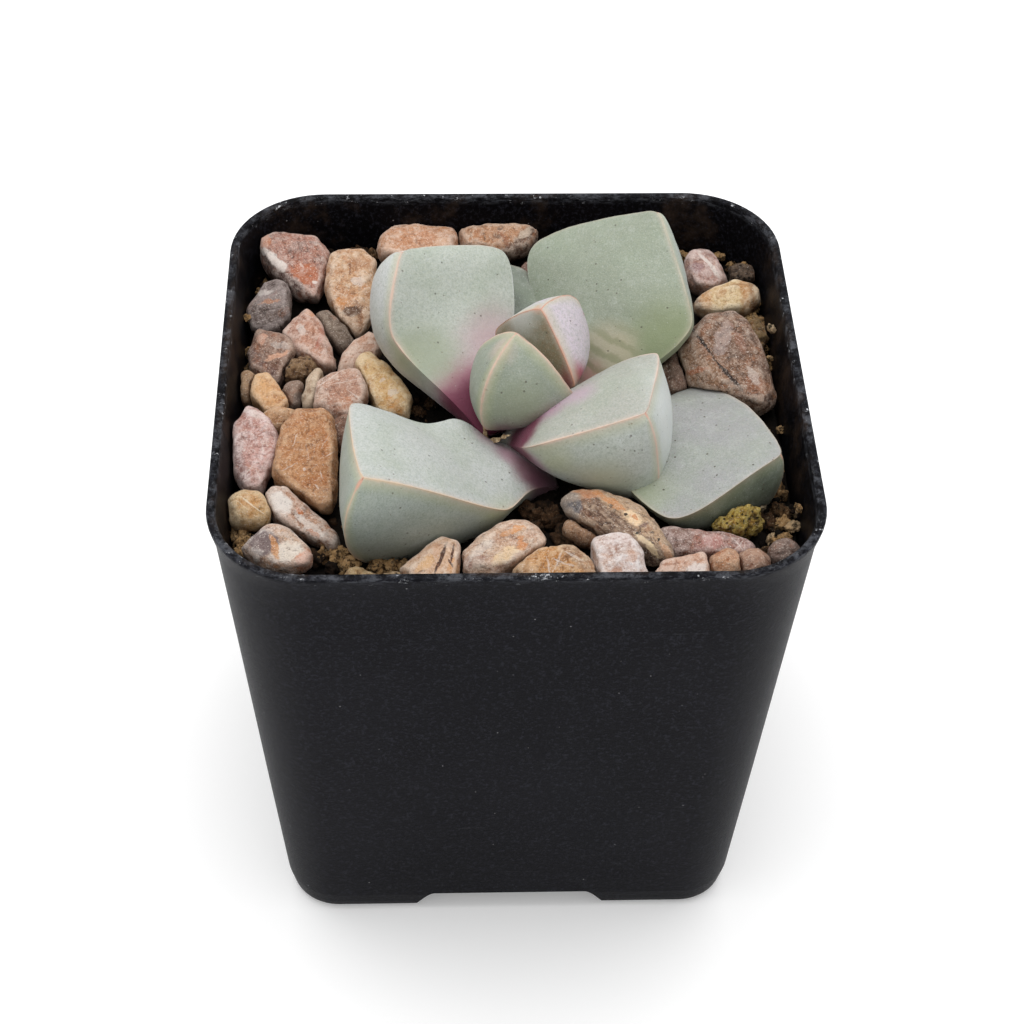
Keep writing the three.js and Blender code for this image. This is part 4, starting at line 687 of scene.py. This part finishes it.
def stone_material(name, middle, seed, tones, haze=0.3, specks=0.4, flecks=0.15, rough=0, streaks=None,
                   zones=(), blots=()):
    """Tumbled river stone with its own patches, veins and cracks, each in its place."""
    main, second, dark, pale = tones
    rock = Surface(name, main)
    spot = rock.spot(offset=(seed * 7.3, seed * 3.1, seed * 5.7))
    flat = rock.placed(rock.place, middle, (MARK_TIP, 0, 0), (MM, MM, MM))
    uneven = rock.warp(flat, 0.8, 1.5, 5)
    steady = rock.warp(flat, 0.9, 0.5, 3)
    rock.paint(second, 1, rock.noise(spot, 0.3, 4, 0.6, 0.5), 0.4, 0.62)
    for direction, distance, soft, tone, strength in zones:
        turn = math.radians(direction)
        edge = (distance * math.cos(turn), distance * math.sin(turn), 0)
        beyond = rock.split(rock.placed(uneven, edge, (0, 0, direction), (soft, 1, 1)))["X"]
        rock.paint(tone, strength, beyond, -0.5, 0.5)
    cloud = rock.noise(spot, 0.8, 8, 0.72, 0.4)
    rock.paint(pale, 0.8 * haze, cloud, 0.47, 0.62)
    rock.paint(dark, 0.65, rock.noise(spot, 0.55, 7, 0.7, 0.8), 0.53, 0.63)
    rust = rock.mix(0.5, main, 0xb26836)
    rock.paint(rust, 0.5, rock.noise(spot, 0.42, 5, 0.65, 0.6), 0.54, 0.62)
    if streaks:
        turned = rock.placed(flat, (seed, 0, 0), (0, 0, streaks[0]), (2.6, 0.32, 0.7))
        bands = rock.noise(turned, 1, 5, 0.7)
        rock.paint(dark, streaks[1], bands, 0.5, 0.66)
        rock.paint(pale, streaks[1] * 0.8, bands, 0.5, 0.36)
    fine = rock.noise(spot, 2.9, 4, 0.75)
    rock.paint(rock.mix(0.9, main, dark), 0.6, fine, 0.5, 0.36)
    rock.paint(rock.mix(0.9, main, pale), 0.5, fine, 0.52, 0.68)
    for right, up, half_length, half_width, turn, tone, strength in blots:
        ground, breaks, shift = (steady, 1.4, 0.7) if half_width < THIN else (uneven, 0.9, 0.45)
        if half_width < THIN and tone == WHITE:
            half_width, strength = half_width * 1.3, strength * 0.55
        inside = rock.placed(ground, (right, up, 0), (0, 0, turn), (half_length, half_width, SIDE_REACH))
        broken = rock.sum(cloud, breaks, rock.vector_maths("LENGTH", inside))
        rock.paint(tone, strength, broken, 1.1 + shift, 0.72 + shift)
    vein = rock.maths("ABSOLUTE", rock.maths("SUBTRACT", rock.noise(uneven, 0.7, 2, 0.5), 0.5))
    rock.paint(pale, 0.15 + 0.35 * specks, vein, 0.02, 0.004, rock.span(cloud, 0.44, 0.56))
    # Proud points are paler and hollow ones darker: painted highlight on the proud edges and painted shade
    # in the hollows.
    ridge = rock.attribute("ridge")
    rock.paint(pale, 0.4, ridge, 0.1, 0.9)
    rock.paint(dark, 0.6, ridge, -0.1, -0.9)
    dust = rock.noise(spot, 5.2, 3, 0.75)
    rock.paint(0xeaded2, 0.35 + 0.4 * specks, dust, 0.56, 0.66)
    rock.paint(0x423026, 0.35 + 0.5 * flecks, dust, 0.42, 0.32)
    # Darker towards the bottom of each stone: painted shade low between the stones, with some soil dirt.
    rock.paint(0x241a13, 0.78, rock.split(rock.place)["Z"], 59.2 * MM, 56 * MM)
    height = rock.sum(cloud, 0.9, rock.sum(dust, 0.8, rock.times(fine, 0.7)))
    if rough:
        hollow = rock.span(rock.cells(spot, 1.3)[0], 0.24, 0.14)
        rock.paint(0x1a130b, 0.85, hollow)
        height = rock.sum(hollow, -2, height)
    return rock.finish(height, 0.26 + 0.2 * rough, 0.8, Roughness=rock.span(fine, 0.3, 0.7, 0.46, 0.68),
                       Specular_IOR_Level=0.3)


STONE_VOXEL = 0.22 * MM
WEAR_STEPS = 6
RIDGE_STEPS = 6
RIDGE_FULL = 0.09 * MM


def ridges(mesh):
    """How proud (1) or hollow (-1) each point stands among those a little way round it."""
    points, normals = points_and_normals(mesh)
    ends = np.empty(len(mesh.edges) * 2, dtype=np.int32)
    mesh.edges.foreach_get("vertices", ends)
    first, second = ends.reshape(-1, 2).T
    degree = np.bincount(ends, minlength=len(points))[:, None]
    smooth = points = points.astype(float)
    for _ in range(RIDGE_STEPS):
        total = np.zeros_like(smooth)
        np.add.at(total, first, smooth[second])
        np.add.at(total, second, smooth[first])
        smooth = total / degree
    return np.clip(((points - smooth) * normals).sum(1) / RIDGE_FULL, -1, 1)


def stone_mesh(name, source, material, seed, rough):
    """The stone's own form, its broken edges worn round, with low relief, dents and cracks."""
    piece = add_object(name, source.data.copy())
    modify(piece, "WELD", merge_threshold=1e-6)
    modify(piece, "REMESH", mode="VOXEL", voxel_size=STONE_VOXEL)
    modify(piece, "SMOOTH", factor=0.6, iterations=WEAR_STEPS)
    apply_modifiers(piece)
    shift = Vector((seed * 3.7, seed * 1.9, seed * 2.3))

    def relief(spot):
        swell = 0.2 * noise.noise(spot * 0.5 + shift) + 0.11 * noise.noise(spot * 1.2 + shift)
        nick = max(0, 1 - abs(noise.noise(spot * 0.45 - shift)) / 0.03)
        lump = noise.noise(spot * 1.3 - shift) * 0.5 + noise.noise(spot * 3.1 + shift) * 0.22
        return swell - 0.12 * nick + 0.07 + rough * (0.75 * lump - 0.14)

    displace(piece, relief)
    set_attribute(piece, "ridge", ridges(piece.data))
    shade_smooth(piece.data)
    piece.data.materials.clear()
    piece.data.materials.append(material)
    return piece


def make_stones():
    for seed, (key, look) in enumerate(STONE_LOOKS.items(), 1):
        name = "stone_" + key
        low, high = (Vector(corner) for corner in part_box(name))
        material = stone_material(name + "_rock", (low + high) / 2, seed, **look)
        piece = stone_mesh(name + "_fine", nodes[name], material, seed, look.get("rough", 0))
        finish_piece(piece, "stone", name)


# ---- soil ----
SOIL_INSET = WALL + GAP
SOIL_RINGS = 80
SOIL_STEPS = (12, 42)
SOIL_TOP = 56
# The soil's tint and most grains' tints lean dark: the soil's own dark humus, and painted shade in the gaps
# between stones.
SOIL_TINT = 0.03
GRAIN_COUNT = 2200
SMALL_RADII = (0.16, 0.22, 0.3, 0.38, 0.48)
SMALL_TINTS = (0, 0.02, 0.06, 0.12, 0.2, 0.34, 0.6)
GRIT_TOP = 57
HEAPED_BEYOND = 27
COVER_REACH = 2.2
COVER_BELOW = 0.6
FULL_TURN = 6.3
# Larger crumbs that the stones leave in view: place (x, y), radius, tint (0 dark to 1 pale) and, for
# those stuck to the pot's wall, their height.
CRUMBS = [
    (-29.1, -19.3, 0.95, 0.7), (-28.5, -20.1, 1.15, 0.66), (-28.7, -21.7, 0.75, 0.6),
    (-29.4, -17.2, 0.7, 0.6), (-29.5, -15.4, 0.6, 0.6), (-29.3, 19, 0.7, 0.62),
    (-29.9, 14.2, 0.5, 0.55, 58.6), (-29.4, 10.9, 0.9, 0.6), (-29.1, 7.8, 0.85, 0.5),
    (-29.3, 5.4, 0.6, 0.5), (-29.4, -1.4, 0.55, 0.55), (-29.5, -3.6, 0.5, 0.5), (-28.3, 23.8, 0.55, 0.55),
    (-28.9, 22.2, 0.6, 0.62), (-20.4, 28.7, 0.9, 0.4), (-18.9, 28.8, 1, 0.3), (-17.2, 28.7, 1.1, 0.25),
    (-15.7, 28.7, 0.8, 0.45), (21.8, 28.6, 0.85, 0.55), (23.1, 28.2, 0.75, 0.5), (26, 27.9, 0.6, 0.6, 56.4),
    (27.4, 26.6, 0.6, 0.6, 56), (28.6, 25.2, 0.5, 0.66, 57.2), (29, 18.5, 1, 0.7), (28.8, 15.6, 1.25, 0.66),
    (28.2, 13.4, 1.1, 0.62), (29, 10.7, 0.85, 0.6), (29.1, 8, 0.9, 0.6), (29.2, 5.9, 0.7, 0.55),
    (28.8, 3.7, 0.8, 0.55), (29.4, 2, 0.6, 0.6), (29.8, 9.3, 0.5, 0.8, 60.6), (29.7, 7.6, 0.45, 0.75, 57.6),
    (29.8, -3.4, 0.5, 0.75, 56.6), (29.4, -16.4, 0.75, 0.85, 56.5), (29.3, -18.8, 0.7, 0.8, 56.8),
    (29.8, -18.2, 0.45, 0.75, 59), (28.3, -11.5, 1, 0.5), (28.1, -13.7, 1.1, 0.5), (28.3, -16.4, 1, 0.4),
    (28.3, -18, 0.9, 0.55), (27, -17.9, 0.9, 0.35), (28.2, -20.6, 0.8, 0.55), (27.5, -20.9, 0.8, 0.6),
    (26.9, -20.2, 0.6, 0.85), (26, -22.7, 0.9, 0.4), (26.1, -24.1, 0.8, 0.4), (25.8, -17.2, 0.8, 0.15),
    (1.4, -15.8, 1, 0.24), (2.5, -17.3, 1.1, 0.3), (3.2, -15.4, 1, 0.16), (3.8, -16.5, 1.1, 0.26),
    (2.1, -18.6, 0.9, 0.26), (4.6, -17.8, 1, 0.2), (5, -20.2, 1.3, 0.22), (-18.4, -22.7, 1.05, 0.7),
    (-19.9, -22.2, 1.1, 0.5), (-20.9, -22.8, 0.9, 0.15), (-17.3, -24.2, 1.1, 0.7), (-14.7, -24.3, 1, 0.66),
    (-13.2, -24.2, 0.9, 0.7), (-11.7, -24.4, 0.8, 0.6), (-19.2, -24.4, 0.9, 0.1), (-8.9, 1.6, 0.8, 0.3),
    (-10.1, 0.2, 0.9, 0.35), (-23.6, 6.5, 0.7, 0.5), (5.6, 1.4, 0.6, 0.3),
]


def soil_level(y):
    share = (y + SOIL_LEVEL["half"]) / (2 * SOIL_LEVEL["half"])
    return SOIL_LEVEL["front"] + share * (SOIL_LEVEL["back"] - SOIL_LEVEL["front"])


def soil_height(x, y):
    spot = Vector((x, y, 0))
    clumps = 0.5 * noise.noise(spot * 0.35) + 0.45 * noise.noise(spot * 0.9) + 0.3 * noise.noise(spot * 2.2)
    return soil_level(y) + 0.3 + clumps


def make_soil(material):
    """Soil body: rough top, sides inside the pot's wall, flat bottom on its floor."""
    top_width, top_corner = profile_at(SOIL_TOP)
    rings = []
    for k in range(1, SOIL_RINGS + 1):
        share = k / SOIL_RINGS
        corner = max(0.2, (top_corner - SOIL_INSET) * share)
        ring = rounded_square((top_width - 2 * SOIL_INSET) * share, corner, 0, *SOIL_STEPS)
        rings.append([(x, y, soil_height(x, y)) for x, y, _ in ring])
    for z in (54, 44, 22, 5):
        width, corner = profile_at(z)
        rings.append(rounded_square(width - 2 * SOIL_INSET, corner - SOIL_INSET, z, *SOIL_STEPS))
    piece = loft_object("soil_fine", soil_height(0, 0), rings, 5, material, inward=True)
    set_attribute(piece, "tint", np.full(len(piece.data.vertices), SOIL_TINT))
    finish_piece(piece, "soil", "soil")


def grit_material():
    """Dry crumbs, from dark humus to tan clay and pale pumice by each grain's tint."""
    skin = Surface("soil_mix", 0x100c08)
    spot = skin.spot()
    drift = skin.sum(skin.noise(spot, 0.5), 0.3, -0.15)
    tone = skin.maths("ADD", skin.attribute("tint"), drift)
    skin.paint(0x4e3623, 1, tone, 0, 0.4)
    skin.paint(0xb08c60, 1, tone, 0.38, 0.62)
    skin.paint(0xd6c0a0, 1, tone, 0.7, 0.95)
    clumps = skin.noise(spot, 1.6, 6, 0.75)
    skin.paint(0x140e0a, 0.9, clumps, 0.54, 0.4)
    fine = skin.noise(spot, 5, 5, 0.8)
    skin.paint(0xd0b894, 0.7, fine, 0.54, 0.66, skin.span(tone, 0.1, 0.6))
    return skin.finish(skin.sum(fine, 0.5, clumps), 0.4, 0.9, Roughness=0.92, Specular_IOR_Level=0.15)


def ball_template(subdivisions):
    shape = bmesh.new()
    bmesh.ops.create_icosphere(shape, subdivisions=subdivisions, radius=1)
    points = np.array([v.co[:] for v in shape.verts])
    faces = [tuple(v.index for v in f.verts) for f in shape.faces]
    shape.free()
    return points, faces


def covered(trees, x, y, z):
    """Whether a stone or leaf lies just over this point of the soil."""
    start = Vector((x, y, z)) * MM
    return any(tree.ray_cast(start, Vector((0, 0, 1)), COVER_REACH * MM)[0] is not None for tree in trees)


def crumb_mesh(name, rows, subdivisions, relief, material):
    """One mesh of lumpy crumbs; each row is place, radius and tint."""
    template, template_faces = ball_template(subdivisions)
    points, faces, tints = [], [], []
    for number, (place, radius, tint) in enumerate(rows):
        about_z, about_x = (Matrix.Rotation(rng.uniform(0, FULL_TURN), 3, axis) for axis in "ZX")
        stretch = np.array([rng.uniform(0.85, 1.3), rng.uniform(0.75, 1.05), rng.uniform(0.6, 0.9)])
        shift = Vector((number * 1.7, 0, 0))
        rough = np.array([
            1 + relief * (noise.noise(p * 1.5 + shift) + 0.6 * noise.noise(p * 3.6 - shift)
                          + 0.3 * noise.noise(p * 8 + shift))
            for p in map(Vector, template)])
        shape = (template * rough[:, None] * stretch * radius) @ np.array(about_z @ about_x).T
        start = len(points)
        points.extend(shape + np.array(place))
        faces.extend(tuple(i + start for i in f) for f in template_faces)
        tints.extend([tint] * len(template))
    piece = mesh_object(name, points, faces, material)
    set_attribute(piece, "tint", tints)
    finish_piece(piece, "soil")


def make_grit(material):
    """Loose grit in the gaps, thickest along the walls, and the larger crumbs."""
    depsgraph = bpy.context.evaluated_depsgraph_get()
    solid = [o for o in bpy.data.objects if re.fullmatch("(stone|leaf)_.*_fine", o.name)]
    trees = [BVHTree.FromObject(o, depsgraph) for o in solid]
    width, corner = profile_at(GRIT_TOP)
    half, corner = width / 2 - WALL - 0.15, corner - WALL
    rows = []
    for _ in range(GRAIN_COUNT):
        x, y = rng.uniform(-half, half), rng.uniform(-half, half)
        radius, tint = rng.choice(SMALL_RADII), rng.choice(SMALL_TINTS)
        over = max(0, abs(x) - (half - corner)), max(0, abs(y) - (half - corner))
        heaped = max(abs(x), abs(y)) > HEAPED_BEYOND
        heap = rng.uniform(-0.05, 1) if heaped else rng.uniform(-0.1, 0.3)
        z = soil_height(x, y) + heap
        if math.hypot(*over) < corner - radius and not covered(trees, x, y, z - COVER_BELOW):
            rows.append(((x, y, z), radius, tint))
    crumb_mesh("soil_grit", rows, 2, 0.42, material)
    lumps = []
    for x, y, radius, tint, *height in CRUMBS:
        z = height[0] if height else max(soil_height(x, y), soil_level(y) + 0.3) + 0.45 * radius
        lumps.append(((x, y, z), radius, tint))
    crumb_mesh("soil_crumbs", lumps, 4, 0.5, material)


# ---- pot ----
def pot_material():
    """Moulded black plastic: satin, faintly grained, with dust, scuffs and a worn rim whose pale wear also
    stands in as painted highlight along the rim.
    """
    skin = Surface("pot_plastic", 0x0a0a0f)
    spot = skin.spot()
    rim, inside = skin.attribute("rim"), skin.attribute("inside")
    skin.paint(0x0f0f14, 1, skin.noise(spot, 0.06), 0.35, 0.7)
    # The inner wall is painted a little darker than the outside: painted shade inside the pot.
    skin.paint(0x080709, 1, inside)
    fine = skin.noise(spot, 2.2, 6, 0.8)
    skin.paint(0x2e2f37, 0.52, fine, 0.5, 0.64)
    smear = skin.noise(skin.spot((150, 150, 150), (4, 1, 9)), 1, 6, 0.7)
    skin.paint(0x44362c, 0.4, smear, 0.48, 0.68, inside)
    # Pale scuffs and chips on the rim: worn plastic, and painted highlight along the rim's edges.
    rim_scuff_and_highlight = skin.noise(skin.spot((420, 420, 1600)), 1, 8, 0.85)
    skin.paint(0x5a5c62, 0.6, rim_scuff_and_highlight, 0.46, 0.62, rim)
    rim_chips_and_highlight = skin.noise(skin.spot((800, 800, 1500), (2, 8, 3)), 1, 7, 0.8)
    skin.paint(0xc4c6ca, 0.9, rim_chips_and_highlight, 0.6, 0.66, rim)
    dust, pick = skin.cells(spot, 0.55)
    skin.paint(0x808082, 0.75, dust, 0.06, 0.03, skin.span(pick, 0.6, 0.62))
    scratch = skin.noise(skin.spot((90, 90, 1500), (3, 7, 1)), 1.4, 3, 0.6)
    skin.paint(0x54565a, 0.18, scratch, 0.7, 0.74)
    return skin.finish(skin.sum(rim_scuff_and_highlight, 0.4, fine), 0.08, 0.6, Specular_IOR_Level=0.045,
                       Roughness=skin.span(fine, 0.3, 0.7, 0.36, 0.46))


# Inset (mm) and height (mm) of the rings of points over the shell, from the foot up and down inside.
FOOT_RINGS = ((0.9, 0), (0.45, 0.05), (0.1, 0.35))
SIDE_HEIGHTS = (0.8, 1.6, 3.1, 3.25, 8, 14, 22, 30, 38, 44, 50, 56, 60, 61.8, 62.5)
RIM_RINGS = (
    (0.03, 62.78), (0.12, 62.93), (0.28, 63), (WALL - 0.28, 63), (WALL - 0.1, 62.95), (WALL - 0.02, 62.8),
)
INNER_HEIGHTS = (62, 60, 56, 50, 44, 34, 22, 12, 3.2, WALL)
# Height (mm) where the rim's pale wear and painted highlight begin, and how far up they fade in.
RIM_WEAR_AND_HIGHLIGHT = (62.3, 0.5)
WELD = 0.0001 * MM
SHARP_ANGLE = 40
CHANNEL_STEPS = 12
CHANNEL_EASE = 0.6
CHANNEL_END = 40
PLUG_SIDES = 40
PLUG_DEPTH = 12
PLUG_MIDDLE = 3.4


def wall_ring(inset, z):
    width, corner = profile_at(z)
    return rounded_square(width - 2 * inset, corner - inset, z)


def pot_mesh(material):
    """Smooth shell of the pot with a softened rim and foot; feet and channels are cut after."""
    rows = [*FOOT_RINGS, *((0, z) for z in SIDE_HEIGHTS), *RIM_RINGS, *((WALL, z) for z in INNER_HEIGHTS)]
    piece = loft_object("pot_fine", 0, [wall_ring(*row) for row in rows], WALL, material)
    cut_underside(piece)
    spots = [v.co / MM for v in piece.data.vertices]
    z = np.array([spot.z for spot in spots])
    depth = np.array([depth_in_wall(spot) for spot in spots])
    set_attribute(piece, "rim", np.clip((z - RIM_WEAR_AND_HIGHLIGHT[0]) / RIM_WEAR_AND_HIGHLIGHT[1], 0, 1))
    set_attribute(piece, "inside", (depth > WALL * 0.6) & (z > 4))
    finish_piece(piece, "pot", "pot")


def depth_in_wall(spot):
    """How far in from the outer skin a point lies, in millimetres, measured square to the sides."""
    width, corner = profile_at(spot.z)
    flat = width / 2 - corner
    x, y = abs(spot.x), abs(spot.y)
    if x > flat and y > flat:
        return corner - math.hypot(x - flat, y - flat)
    return width / 2 - max(x, y)


def channel_prism(thickness, along_x):
    """Bar with the channel's outline, grown by a thickness, that runs out past both sides."""
    top, foot, height = (CHANNEL[key] + thickness for key in ("top_half", "foot_half", "height"))
    half = [(foot, -2)]
    for share in np.arange(CHANNEL_STEPS + 1) / CHANNEL_STEPS:
        half.append((foot + (top - CHANNEL_EASE - foot) * share, height * smoothstep(share)))
    outline = half + [(-x, z) for x, z in reversed(half)]
    points = [(-y, x, z) if along_x else (x, y, z) for y in (-CHANNEL_END, CHANNEL_END) for x, z in outline]
    count = len(outline)
    faces = [tuple(range(count)), tuple(reversed(range(count, 2 * count)))]
    faces += [(k, count + k, count + (k + 1) % count, (k + 1) % count) for k in range(count)]
    prism = mesh_object("channel", points, faces)
    outward(prism)
    return prism


def outward(piece):
    """Weld points that lie on each other and turn every face outward."""
    shape = bmesh.new()
    shape.from_mesh(piece.data)
    bmesh.ops.remove_doubles(shape, verts=shape.verts, dist=WELD)
    bmesh.ops.recalc_face_normals(shape, faces=shape.faces)
    if shape.calc_volume(signed=True) < 0:
        bmesh.ops.reverse_faces(shape, faces=shape.faces)
    shape.to_mesh(piece.data)
    shape.free()


def join_or_cut(piece, cutter, operation):
    modify(piece, "BOOLEAN", operation=operation, object=cutter, solver="EXACT")
    apply_modifiers(piece)
    bpy.data.objects.remove(cutter)


def drain_plug(x, y):
    plug = bmesh.new()
    radius = DRAIN_HOLE["radius"] * MM
    bmesh.ops.create_cone(plug, cap_ends=True, segments=PLUG_SIDES, radius1=radius, radius2=radius,
                          depth=PLUG_DEPTH * MM)
    bmesh.ops.translate(plug, verts=plug.verts, vec=(x * MM, y * MM, PLUG_MIDDLE * MM))
    mesh = bpy.data.meshes.new("plug")
    plug.to_mesh(mesh)
    plug.free()
    return add_object("plug", mesh)


def cut_underside(piece):
    """Crossing channels under the floor, one wall thick, and the drain holes."""
    outward(piece)
    for along_x in (False, True):
        ridge = channel_prism(WALL, along_x)
        join_or_cut(ridge, cavity_blank(), "INTERSECT")
        join_or_cut(piece, ridge, "UNION")
    for along_x in (False, True):
        join_or_cut(piece, channel_prism(0, along_x), "DIFFERENCE")
    reach = DRAIN_HOLE["reach"]
    for x, y in ((0, 0), (reach, 0), (-reach, 0), (0, reach), (0, -reach)):
        join_or_cut(piece, drain_plug(x, y), "DIFFERENCE")
    outward(piece)
    shade_smooth(piece.data)
    piece.data.set_sharp_from_angle(angle=math.radians(SHARP_ANGLE))


def cavity_blank():
    """Solid that fills the pot's lower inside and reaches half way into its wall and floor."""
    rings = [wall_ring(WALL / 2, z) for z in (WALL / 2, 3.2, 8)]
    blank = loft_object("blank", WALL / 2, rings, 8)
    outward(blank)
    return blank


# ---- dry leaf base and stem ----
SHEATH_PATH = (  # place (mm) and half width: scraps of dead leaf skin between the leaf bases
    (-3.25, -7.6, 62.1, 0.08), (-3.05, -7.9, 61, 0.26), (-2.75, -8.3, 59.9, 0.3), (-2.1, -8.9, 60.4, 0.34),
    (-1.2, -9.6, 61.5, 0.26), (-0.4, -10.3, 62.6, 0.08),
)
SHEATH_STEPS = 31
SHEATH_SIDES = 8
SHEATH_END = Vector((0, 0, 0.05))
CRUMPLE = 0.22


def make_sheath():
    """Crumpled papery ribbon."""
    skin = Surface("dry_skin", 0x7a5c3e)
    fibre = skin.noise(skin.spot(), 2.5, 5, 0.7)
    skin.paint(0xceb892, 1, fibre, 0.35, 0.65)
    material = skin.finish(fibre, 0.2, 0.8, Roughness=0.85)
    path = np.array(SHEATH_PATH)
    steps = np.linspace(0, len(path) - 1, SHEATH_STEPS)
    rows = [np.interp(steps, np.arange(len(path)), path[:, k]) for k in range(4)]
    points = [Vector(path[0][:3]) + SHEATH_END]
    for *place, half in zip(*rows):
        middle = Vector(place) + noise.noise_vector(Vector(place) * 1.6) * CRUMPLE
        for k in range(SHEATH_SIDES):
            angle = k / SHEATH_SIDES * 2 * math.pi
            points.append(middle + Vector((half * 0.6, half * 0.3, half)) * math.cos(angle)
                          + Vector((0.02, -0.07, 0.03)) * math.sin(angle))
    points.append(Vector(path[-1][:3]) + SHEATH_END)
    piece = mesh_object("dry_sheath", points, loft_faces(SHEATH_STEPS, SHEATH_SIDES), material)
    outward(piece)
    finish_piece(piece, "leaf")


def make_stem():
    """Corky bark on the stem's own solid."""
    skin = Surface("stem_cork")
    bark = skin.noise(skin.spot((900, 900, 300)), 1.6, 6, 0.7)
    skin.colour = skin.mix(bark, 0x604834, 0xa88a68)
    material = skin.finish(bark, 0.4, 0.8, Roughness=0.9)
    nodes["stem"].data.materials.clear()
    nodes["stem"].data.materials.append(material)


# ---- room ----
FLOOR_HALF = 3000
CAMERA = {"place": (-8.26, -188.48, 226.07), "elevation": 44.46, "yaw": -2.64, "roll": 1.36, "lens": 79.98}


def make_camera():
    elevation, yaw, roll = (math.radians(CAMERA[k]) for k in ("elevation", "yaw", "roll"))
    level = math.cos(elevation)
    forward = Vector((math.sin(-yaw) * level, math.cos(yaw) * level, -math.sin(elevation)))
    right = forward.cross(Vector((0, 0, 1))).normalized()
    up = right.cross(forward)
    across = right * math.cos(roll) + up * math.sin(roll)
    upward = up * math.cos(roll) - right * math.sin(roll)
    data = bpy.data.cameras.new("camera")
    data.lens = CAMERA["lens"]
    data.sensor_width = 36
    data.clip_start = 0.01
    data.clip_end = 20
    camera = add_object("camera", data)
    camera.matrix_world = Matrix((across, upward, -forward)).transposed().to_4x4()
    camera.location = Vector(CAMERA["place"]) * MM
    bpy.context.scene.camera = camera


def make_light(name, place, target, size, power):
    data = bpy.data.lights.new(name, "AREA")
    data.shape = "RECTANGLE"
    data.size, data.size_y = size
    data.energy = power
    light = add_object(name, data)
    light.location = place
    light.rotation_euler = (Vector(target) - Vector(place)).to_track_quat("-Z", "Y").to_euler()


def make_room():
    """Pale floor that glows faintly, white surroundings and one soft light overhead."""
    paper = Surface("floor_paper")
    # The floor's faint even glow is painted light: it lifts the shadows on the floor and lights the pot a
    # little from below.
    paper.set(Base_Color=(0.92, 0.92, 0.92, 1), Roughness=0.9, Specular_IOR_Level=0.1,
              Emission_Color=(1, 1, 1, 1), Emission_Strength=0.18)
    corners = [(x * FLOOR_HALF, y * FLOOR_HALF, 0) for x, y in ((-1, -1), (1, -1), (1, 1), (-1, 1))]
    mesh_object("floor", corners, [(0, 1, 2, 3)], paper.material)
    world = bpy.data.worlds.new("studio")
    world.use_nodes = True
    background = world.node_tree.nodes["Background"]
    background.inputs["Color"].default_value = (1, 1, 1, 1)
    background.inputs["Strength"].default_value = 0.8
    bpy.context.scene.world = world
    make_light("overhead", (-0.02, 0.1, 0.75), (0, 0, 0.05), (0.8, 0.6), 4)
    bpy.context.scene.view_settings.view_transform = "Standard"


make_camera()
make_leaves()
make_stones()
soil_look = grit_material()
make_soil(soil_look)
make_grit(soil_look)
pot_mesh(pot_material())
make_sheath()
make_stem()
make_room()
